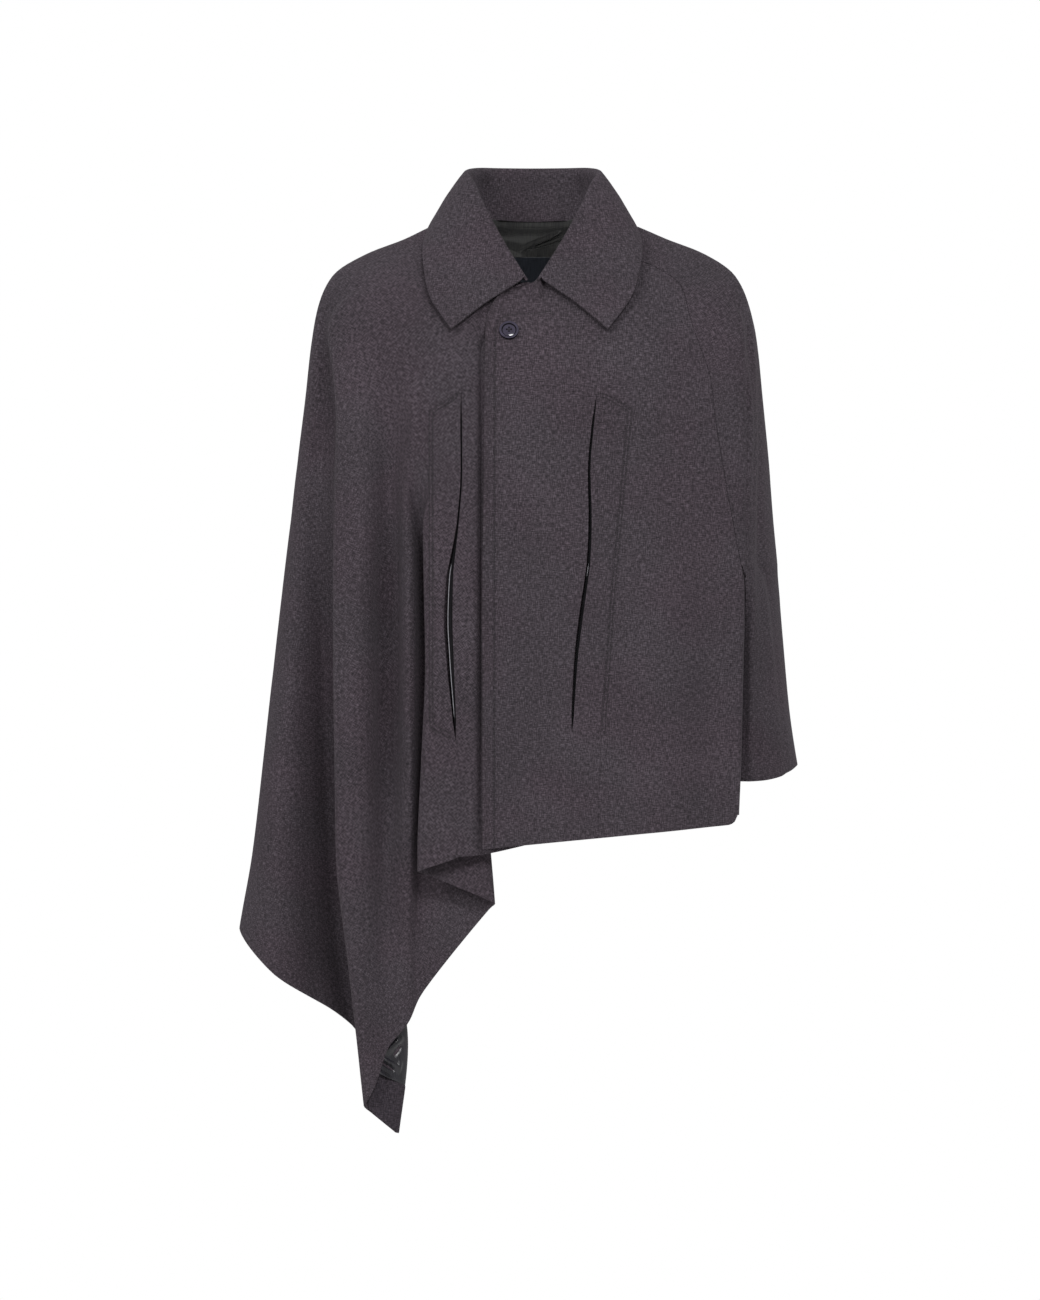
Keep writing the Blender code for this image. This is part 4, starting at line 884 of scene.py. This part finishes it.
sleeve = panel("left_cape_sleeve", sleeve_grid, sleeve_missing, "sleeve_left",
               (inner_count + 16, 12, inner_count + 16, len(sleeve_rows) - 1))

# -------------------------------------------------------------------------------- collar
# A shirt-type collar with long points, stand and fall in one, of two layers of the wool.
# The stand rises from the neck seam, rolls over at the top, and the fall lies on the
# shoulders, its right point reaching a little further across than the left.
COLLAR = (                     # angle round the neck, roll line, outer edge (mm)
    (180, (0, 76, 77), (0, 110, -6)),
    (150, (34, 71, 77), (51, 103, -3)),
    (120, (59, 50, 76), (90, 74, 5)),
    (92, (71, 14, 70.5), (102, 12, 22.5)),
    (62, (65, -20, 59), (114, -30, -6)),
    (40, (51, -44, 28), (112, -62, -34)),
    (22, (29, -62, -12), (103, -86, -66)),
    (6, (8, -76, -45), (78, -110, -101)),
)
COLLAR_RIGHT_SHIFT = -7.5
COLLAR_ROLL = 3.6 * MM
ROLL_SHARE = 0.2
COLLAR_INSET = 3.6 * MM
STAND_LIFT = 4.5 * MM
STAND_LIFT_FRONT = 0.2 * MM
STAND_BOW = 1.0 * MM
FALL_BOW = 0.5 * MM
FALL_LIFT = 2.0 * MM
COLLAR_REACH = (6, 60, 180), (1, 0.12, 0)
COLLAR_STEP = 6
COLLAR_STEPS = (6, 6, 3, 3, 7, 7)


def collar_seam(turn, side):
    """Foot of the stand, just inside the neck edge and a little above it."""
    neck = section(0.0)
    cosine = math.cos(turn)
    where = "back" if cosine < 0 else "front"
    drop = (neck[where + "_z"] - neck["side_z"]) * abs(cosine) ** TILT
    return np.array((side * (neck["right"] - COLLAR_INSET) * math.sin(turn),
                     -(neck[where] - COLLAR_INSET) * cosine,
                     neck["side_z"] + drop + STAND_LIFT + STAND_LIFT_FRONT * cosine))


def collar_rib(angle, roll, edge, side):
    """Section of the collar at a station: up the stand, over the roll, down the fall."""
    seam = collar_seam(math.radians(angle), side)
    shift = COLLAR_RIGHT_SHIFT * smooth(*COLLAR_REACH, angle) if side < 0 else 0
    roll_point = np.array((side * roll[0] + shift * ROLL_SHARE, roll[1], roll[2])) * MM
    edge_point = np.array((side * edge[0] + shift, edge[1], edge[2])) * MM
    out = edge_point - roll_point
    out[2] = 0
    out /= np.linalg.norm(out)
    up = np.array((0, 0, 1.0))
    stand_top = roll_point - (out + up) * COLLAR_ROLL
    fall_top = roll_point + (out - up) * COLLAR_ROLL
    stand_mid = (seam + stand_top) / 2 + out * STAND_BOW
    fall_mid = (fall_top + edge_point) / 2 + out * FALL_BOW + up * FALL_LIFT
    return [seam, stand_mid, stand_top, roll_point, fall_top, fall_mid, edge_point]


stations = [(*row, -1) for row in COLLAR[:0:-1]] + [(*row, 1) for row in COLLAR]
collar_ribs = np.array([collar_rib(*station) for station in stations])
collar_lines = np.array([through(collar_ribs[:, k], [COLLAR_STEP] * (len(stations) - 1))
                         for k in range(collar_ribs.shape[1])])
collar_grid = np.array([through(rib, COLLAR_STEPS) for rib in collar_lines.transpose(1, 0, 2)])
STAND_ROWS = 12
STAND_FOLDS = (
    ((-44, -4), (-50, 72), -8.0, 8), ((-34, 4), (-36, 56), 2.0, 5),
    ((42, -4), (48, 72), -8.0, 8), ((33, 18), (35, 62), 2.0, 5),
)
collar_grid[:, :STAND_ROWS] = crease(collar_grid[:, :STAND_ROWS], STAND_FOLDS)
collar = panel("collar_of_wool", collar_grid, (), "collar", (42, 0, 42, collar_grid.shape[1] - 1))

# ------------------------------------------------------------------------- linings at the back
# Inside the back neck lies a yoke lining of grey satin, pulled into two fine creases by the
# hanging weight, and below its seam a half lining of blue-black satin. Both are cut like
# the back and sewn to it at the neck, the seams and the armholes.
SATIN = 1.0 * MM
SATIN_THREAD = 0.9             # mm; real threads of 0.15 mm would not show
YOKE_FOOT = 12                 # row of the back's grid with the seam below the yoke lining
LINING_FOOT = 35
LINING_FROM = 14               # columns of the back's grid that the linings cover
LINING_TO = 82
YOKE_TOP = (0, -1.5 * MM, 7 * MM)    # the lining runs on up into the seam of the stand
YOKE_CREASES = (
    ((-15, -8), (31, 11), 3.2, 1.6), ((-4, -6.5), (36, 6), 2.6, 1.2),
    ((-38, -2), (-8, -12), 2.0, 5),
)
HALF_LINING_CREASES = (((-30, -60), (20, -110), 2.5, 14), ((25, -40), (60, -120), -2.5, 12),
                       ((-60, -50), (-70, -150), 2.0, 12))


def satin(name, dark, light, rough, gloss=0.6):
    """Satin of smooth filament threads: a soft streaky gloss along the cloth."""
    material = bpy.data.materials.new(name)
    material.use_nodes = True
    tree = material.node_tree
    shader = tree.nodes["Principled BSDF"]
    cut = add(tree, "ShaderNodeUVMap", uv_map="cut").outputs["UV"]
    lie = add(tree, "ShaderNodeMapping", {"Scale": (1 / MM / SATIN_THREAD, 1 / MM / 14, 1)},
              {"Vector": cut})
    threads = add(tree, "ShaderNodeTexNoise", {"Scale": 1, "Detail": 2}, {"Vector": lie.outputs[0]},
                  noise_dimensions="2D")
    ramp = add(tree, "ShaderNodeValToRGB", links={"Fac": threads.outputs[0]})
    stops = ramp.color_ramp.elements
    stops[0].position, stops[0].color = 0.3, linear(dark)
    stops[1].position, stops[1].color = 0.7, linear(light)
    relief = add(tree, "ShaderNodeBump", {"Strength": 0.25, "Distance": 0.2 * MM},
                 {"Height": threads.outputs[0]})
    tree.links.new(ramp.outputs["Color"], shader.inputs["Base Color"])
    tree.links.new(relief.outputs["Normal"], shader.inputs["Normal"])
    shader.inputs["Roughness"].default_value = rough
    shader.inputs["Specular IOR Level"].default_value = gloss
    shader.inputs["Sheen Weight"].default_value = gloss / 3
    return material


def beneath(grid, columns, rows, thick):
    """Part of a panel's points, moved to its wrong side to carry a layer that lies on it."""
    sunk = grid - outward(grid) * (CLOTH / 2 + SEAM + thick / 2)
    return sunk[columns[0]:columns[1] + 1, rows[0]:rows[1] + 1]


yoke_base = beneath(back_grid, (LINING_FROM, LINING_TO), (0, YOKE_FOOT), SATIN)
yoke_base = np.concatenate((yoke_base[:, :1] + YOKE_TOP, yoke_base), axis=1)
yoke_grid = crease(finer(yoke_base, 4, 4), YOKE_CREASES, -1)
yoke_lining = panel("yoke_lining_of_satin", yoke_grid, (), "yoke_lining",
                    (132, 0, 132, yoke_grid.shape[1] - 1), thick=SATIN,
                    material=satin("satin_grey_filament", "#303032", "#4c4c4a", 0.28))
half_base = beneath(back_grid, (LINING_FROM, LINING_TO), (YOKE_FOOT, LINING_FOOT), SATIN)
half_grid = crease(half_base, HALF_LINING_CREASES, -1)
half_lining = panel("half_lining_of_satin", half_grid, (), "back_lining",
                    (33, 0, 33, half_grid.shape[1] - 1), thick=SATIN,
                    material=satin("satin_blue_black_filament", "#1d2028", "#2e333c", 0.45))

# ------------------------------------------------------------------- turned cloth at the point
# At the handkerchief point the drape shows its wrong side: a facing of the same wool along
# the hem, and above it the end of the satin lining, which puffs forward over its seam.
FACING = 1.6 * MM
POINT_FROM, POINT_TO = 94, 105     # columns of the drape's grid
POINT_TOP, FACING_TOP = 114, 132   # rows of the drape's grid
POINT_CREASES = (
    ((-170, -873), (-140, -894), 5.0, 3.0), ((-163, -865.5), (-144, -878), -3.2, 1.5),
    ((-162, -861), (-141, -874), 3.4, 1.8), ((-156, -859), (-137, -841), 4.0, 3.0),
    ((-147, -863), (-137, -849), -3.0, 2.0), ((-139, -866), (-142, -880), 2.4, 1.8),
)
point_base = beneath(right_grid, (POINT_FROM, POINT_TO), (POINT_TOP, FACING_TOP), SATIN)
point_grid = crease(finer(point_base, 3, 6), POINT_CREASES, -1)
point_lining = panel("point_lining_of_satin", point_grid, (), "point_lining",
                     (16, 0, 16, point_grid.shape[1] - 1), thick=SATIN,
                     material=satin("satin_violet_grey_filament", "#141318", "#2a2830", 0.26))
facing_grid = beneath(right_grid, (POINT_FROM, POINT_TO), (FACING_TOP, ROWS * 6), FACING)
# The facing's wool is drawn in darker greys than the drape's: painted shade where it lies behind the drape's
# turned edge
point_facing = panel("point_facing_of_wool", facing_grid, (), "point_facing",
                     (6, 0, 6, facing_grid.shape[1] - 1), thick=FACING,
                     material=melton("melton_wool_facing_painted_shade", (), "#211d21", "#352f36", "#504850"))

# ---------------------------------------------------------------------- bound edges of the slits
# Inside each arm slit the opening edge is bound with a narrow fold of the lining satin, stitched along the
# panel's wrong side. Its flat part is coloured near black as painted shade in the gap, and a thin roll along
# its edge is coloured pale grey as a painted highlight line.
BINDING = 0.7 * MM
BINDING_SHOWS = 0.55           # share of the gap that it reaches across
BINDING_HIDDEN = 3.0 * MM
BINDING_ROLL = ((0.8, 0.0), (0.3, -0.4), (0.0, 0.1), (0.6, 0.9))   # mm across and back, from its edge
BINDING_ENDS = 0.3             # sections that it stays short of the slit's ends
CORD_COLUMN = 3                # column of the binding's points that carries the roll
CORD_RADIUS = 0.4 * MM


def rolled(name, path):
    """The tight roll along a bound edge, six sided, drawn to a point at its ends, in a pale satin that is a
    painted highlight line.
    """
    rings = []
    for k, centre in enumerate(path):
        radius = CORD_RADIUS * min(1, 0.2 + 0.16 * min(k, len(path) - 1 - k))
        rings += [centre + (radius * math.cos(turn), radius * math.sin(turn), 0)
                  for turn in np.arange(6) * math.pi / 3]
    faces = [(6 * k + m, 6 * k + (m + 1) % 6, 6 * k + 6 + (m + 1) % 6, 6 * k + 6 + m)
             for k in range(len(path) - 1) for m in range(6)]
    faces += [(5, 4, 3, 2, 1, 0), tuple(6 * len(path) - 6 + m for m in range(6))]
    mesh = bpy.data.meshes.new(name)
    mesh.from_pydata([tuple(point) for point in rings], [], faces)
    roll = bpy.data.objects.new(name, mesh)
    bpy.context.collection.objects.link(roll)
    only(roll)
    bpy.ops.object.mode_set(mode="EDIT")
    bpy.ops.mesh.select_all(action="SELECT")
    bpy.ops.uv.cube_project()
    bpy.ops.mesh.normals_make_consistent(inside=False)
    bpy.ops.object.mode_set(mode="OBJECT")
    mesh.uv_layers.active.name = "cut"
    mesh.shade_smooth()
    mesh.materials.append(roll_painted_highlight)
    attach(roll, "root")


def binding(name, middle, gap, hem, sink, side, shown):
    """Satin fold behind one lip of a slit: side 1 for the lip with the greater x."""
    grid = []
    for row in np.linspace(SLIT_TOP + BINDING_ENDS, SLIT_FOOT - BINDING_ENDS, 60):
        level = rib_level(row, hem * MM)
        both = lips(middle, gap, row, level)
        lip = both[1] if side > 0 else both[0]
        edge = lip - side * BINDING_SHOWS * (both[1] - both[0])
        base = on_body(level, lip) + (0, sink + CLOTH / 2 + SEAM + BINDING / 2, 0)
        profile = [(lip + side * BINDING_HIDDEN, 0), (lip + side * 1.2 * MM, 0)]
        profile += [(edge + side * x * MM, y * MM) for x, y in BINDING_ROLL]
        grid.append([(x, base[1] + y, base[2]) for x, y in profile])
    grid = np.array(grid).transpose(1, 0, 2)
    rolled(name + "_roll", grid[CORD_COLUMN, shown[0]:shown[1]])
    return panel(name, grid, (), None, (1, 0, 1, grid.shape[1] - 1), thick=BINDING,
                 material=binding_painted_shade)


# Painted highlight: the roll's satin is pale grey so that it reads as a bright line in the gap
roll_painted_highlight = satin("satin_binding_painted_highlight", "#8a888f", "#bbb9c0", 0.22)
# Painted shade: the binding's flat part is coloured near black where it lies in the slit's shadow
binding_painted_shade = satin("satin_binding_painted_shade", "#0b0a0d", "#17161a", 0.5, 0.12)
right_binding = binding("right_slit_binding", RIGHT_SLIT, RIGHT_OPEN, -652, SLIT_IN_SINK, 1,
                        (18, 59))
left_binding = binding("left_slit_binding", LEFT_SLIT, LEFT_OPEN, -634.7, 0, 1, (18, 31))

# ----------------------------------------------------------------------------- neck button
# A four-hole button of dark violet horn, turned with a thick polished rim and a dished
# middle, sewn to the underlap with dark thread through the placket's top buttonhole.
BUTTON_AT = (-25.2, -103)      # mm across and up on the left front
BUTTON_RADIUS = 10.1 * MM
BUTTON_THICK = 2.6 * MM
RIM_WIDTH = 2.3 * MM
RIM_SLOPE = 1.0 * MM
DISH_DEPTH = 1.1 * MM
HOLE_RADIUS = 0.95 * MM
HOLE_OFFSET = 2.2 * MM
HOLE_RAISE = 0.8 * MM
BUTTON_CLEAR = 1.0 * MM        # between its back and the cloth


def drill(obj, tool):
    """Cut one tool's shape out of an object and remove the tool."""
    only(obj)
    cut = obj.modifiers.new("hole", "BOOLEAN")
    cut.operation = "DIFFERENCE"
    cut.solver = "EXACT"
    cut.object = tool
    bpy.ops.object.modifier_apply(modifier=cut.name)
    bpy.data.objects.remove(tool)


def select_top(obj):
    """Select the face on top of a turned blank, in edit mode."""
    only(obj)
    bpy.ops.object.mode_set(mode="EDIT")
    bpy.ops.mesh.select_all(action="DESELECT")
    bpy.ops.object.mode_set(mode="OBJECT")
    for face in obj.data.polygons:
        face.select = face.normal.z > 0.9
    bpy.ops.object.mode_set(mode="EDIT")


bpy.ops.mesh.primitive_cylinder_add(vertices=64, radius=BUTTON_RADIUS, depth=BUTTON_THICK)
button = bpy.context.active_object
button.name = "horn_neck_button"
select_top(button)
bpy.ops.mesh.select_mode(type="FACE")
bpy.ops.mesh.inset(thickness=RIM_WIDTH, depth=0)
bpy.ops.mesh.inset(thickness=RIM_SLOPE, depth=-DISH_DEPTH)
bpy.ops.mesh.inset(thickness=RIM_SLOPE, depth=0.3 * MM)
bpy.ops.object.mode_set(mode="OBJECT")
for turn in range(4):
    angle = math.pi / 2 * turn
    bpy.ops.mesh.primitive_cylinder_add(
        vertices=20, radius=HOLE_RADIUS, depth=3 * BUTTON_THICK,
        location=(HOLE_OFFSET * math.cos(angle), HOLE_RAISE + HOLE_OFFSET * math.sin(angle), 0))
    drill(button, bpy.context.active_object)
only(button)
rounding = button.modifiers.new("turned edges", "BEVEL")
rounding.width = 0.9 * MM
rounding.segments = 4
rounding.limit_method = "ANGLE"
rounding.angle_limit = math.radians(40)
bpy.ops.object.modifier_apply(modifier=rounding.name)
bpy.ops.object.shade_smooth_by_angle(angle=math.radians(50))

horn = bpy.data.materials.new("horn_dyed_turned_and_polished")
horn.use_nodes = True
clouded = add(horn.node_tree, "ShaderNodeTexNoise", {"Scale": 1 / (4 * MM), "Detail": 3},
              {"Vector": add(horn.node_tree, "ShaderNodeTexCoord").outputs["Object"]})
depth_of_horn = add(horn.node_tree, "ShaderNodeValToRGB", links={"Fac": clouded.outputs[0]})
depth_of_horn.color_ramp.elements[0].color = linear("#1b1722")
depth_of_horn.color_ramp.elements[1].color = linear("#4a4459")
horn_shader = horn.node_tree.nodes["Principled BSDF"]
horn.node_tree.links.new(depth_of_horn.outputs[0], horn_shader.inputs["Base Color"])
horn_shader.inputs["Roughness"].default_value = 0.12
horn_shader.inputs["Coat Weight"].default_value = 0.5
button.data.materials.append(horn)
# A near black, matt copy of the horn: painted shade in the sunk ring between rim and dish, and on the
# button's outer side as the dark outline of its shadow
horn_painted_shade = horn.copy()
horn_painted_shade.name = "horn_painted_shade_dark"
horn_painted_shade.node_tree.nodes["Color Ramp"].color_ramp.elements[0].color = linear("#08070a")
horn_painted_shade.node_tree.nodes["Color Ramp"].color_ramp.elements[1].color = linear("#151219")
horn_painted_shade.node_tree.nodes["Principled BSDF"].inputs["Roughness"].default_value = 0.8
horn_painted_shade.node_tree.nodes["Principled BSDF"].inputs["Specular IOR Level"].default_value = 0.1
horn_painted_shade.node_tree.nodes["Principled BSDF"].inputs["Coat Weight"].default_value = 0
button.data.materials.append(horn_painted_shade)
# Painted shade: the sunk ring and the steep outer faces take the near black copy
for face in button.data.polygons:
    out = math.hypot(face.center.x, face.center.y)
    if BUTTON_RADIUS - RIM_WIDTH - RIM_SLOPE - 0.2 * MM < out < BUTTON_RADIUS - RIM_WIDTH + 0.1 * MM:
        face.material_index = 1
    if face.normal.z < 0.5 and out > BUTTON_RADIUS - RIM_WIDTH / 2:
        face.material_index = 1

# its thread: two crossed pairs of stitches from hole to hole
crossing = []
for turn in range(2):
    angle = math.pi / 4 + math.pi / 2 * turn
    bpy.ops.mesh.primitive_cylinder_add(
        vertices=10, radius=0.3 * MM, depth=2 * HOLE_OFFSET,
        rotation=(0, math.pi / 2, math.pi / 2 * turn),
        location=(0, HOLE_RAISE, BUTTON_THICK / 2 - DISH_DEPTH + 0.5 * MM))
    crossing.append(bpy.context.active_object)
for other in crossing:
    other.select_set(True)
bpy.ops.object.join()
button_thread = bpy.context.active_object
button_thread.name = "neck_button_thread"
bpy.ops.object.transform_apply(location=True, rotation=True)
button_thread.data.materials.append(thread)
bpy.ops.object.shade_smooth()

front_surface = BVHTree.FromPolygons([vertex.co for vertex in left_front.data.vertices],
                                     [tuple(face.vertices) for face in left_front.data.polygons])
chest = [front_surface.ray_cast(Vector(((BUTTON_AT[0] + x) * MM, -1, (BUTTON_AT[1] + z) * MM)),
                                Vector((0, 1, 0)))[0] for x, z in ((0, 0), (6, 0), (-6, 0), (0, 6), (0, -6))]
facing_out = (chest[1] - chest[2]).cross(chest[3] - chest[4]).normalized()
seat = chest[0] + facing_out * (BUTTON_THICK / 2 + BUTTON_CLEAR)
place_button = Matrix.Translation(seat) @ facing_out.to_track_quat("Z", "Y").to_matrix().to_4x4()
for obj in (button, button_thread):
    obj.data.transform(place_button)
    obj.matrix_world = Matrix.Identity(4)
    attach(obj, "root")
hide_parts("neck_button")

# ---------------------------------------------------------------------- floor, light, camera
# A plain pale floor well below the hanging garment, a white studio that gives a little
# even light, a large soft box in front and above, and a weaker one on either side.
FILL_LIGHT = 0.38
SOFT_BOXES = (                 # name, place, size (m), watts
    ("soft_box_front", (0.7, -4.6, 2.5), 1.2, 98),
    ("soft_box_left", (2.3, -4.0, 2.2), 1.1, 26),
    ("soft_box_right", (-2.9, -3.6, 1.6), 1.3, 62),
)
for other in bpy.context.selected_objects:
    other.select_set(False)
bpy.ops.mesh.primitive_plane_add(size=5.0, location=(0, 0, -1.55))
floor = bpy.context.active_object
floor.name = "studio_floor"
bpy.ops.object.transform_apply(location=True)
floor_paint = bpy.data.materials.new("floor_matt_white_paint")
floor_paint.use_nodes = True
floor_paint.node_tree.nodes["Principled BSDF"].inputs["Base Color"].default_value = linear("#e9e9e7")
floor_paint.node_tree.nodes["Principled BSDF"].inputs["Roughness"].default_value = 0.9
floor.data.materials.append(floor_paint)

world = bpy.data.worlds.new("studio_white")
world.use_nodes = True
sky = world.node_tree
seen = add(sky, "ShaderNodeLightPath")
glow = add(sky, "ShaderNodeMath", {1: 1 - FILL_LIGHT, 2: FILL_LIGHT},
           {0: seen.outputs["Is Camera Ray"]}, operation="MULTIPLY_ADD")
sky.nodes["Background"].inputs["Color"].default_value = (1, 1, 1, 1)
sky.links.new(glow.outputs[0], sky.nodes["Background"].inputs["Strength"])
bpy.context.scene.world = world

for name, place, size, watts in SOFT_BOXES:
    data = bpy.data.lights.new(name, "AREA")
    data.size = size
    data.energy = watts
    box = bpy.data.objects.new(name, data)
    box.location = place
    box.rotation_euler = (Vector((0, 0, -0.4)) - box.location).to_track_quat("-Z", "Y").to_euler()
    bpy.context.collection.objects.link(box)

CAMERA_DISTANCE = 8.0
IMAGE_HEIGHT = 1.365           # metres seen from top to bottom at the garment
REFERENCE_DEPTH = -0.06
camera_data = bpy.data.cameras.new("camera")
camera_data.sensor_width = 36
camera_data.lens = 36 * CAMERA_DISTANCE / IMAGE_HEIGHT
camera = bpy.data.objects.new("camera", camera_data)
camera.location = (-0.0137, REFERENCE_DEPTH - CAMERA_DISTANCE, -0.436)
camera.rotation_euler = (math.pi / 2, 0, 0)
bpy.context.collection.objects.link(camera)
bpy.context.scene.camera = camera
bpy.context.scene.view_settings.view_transform = "Standard"
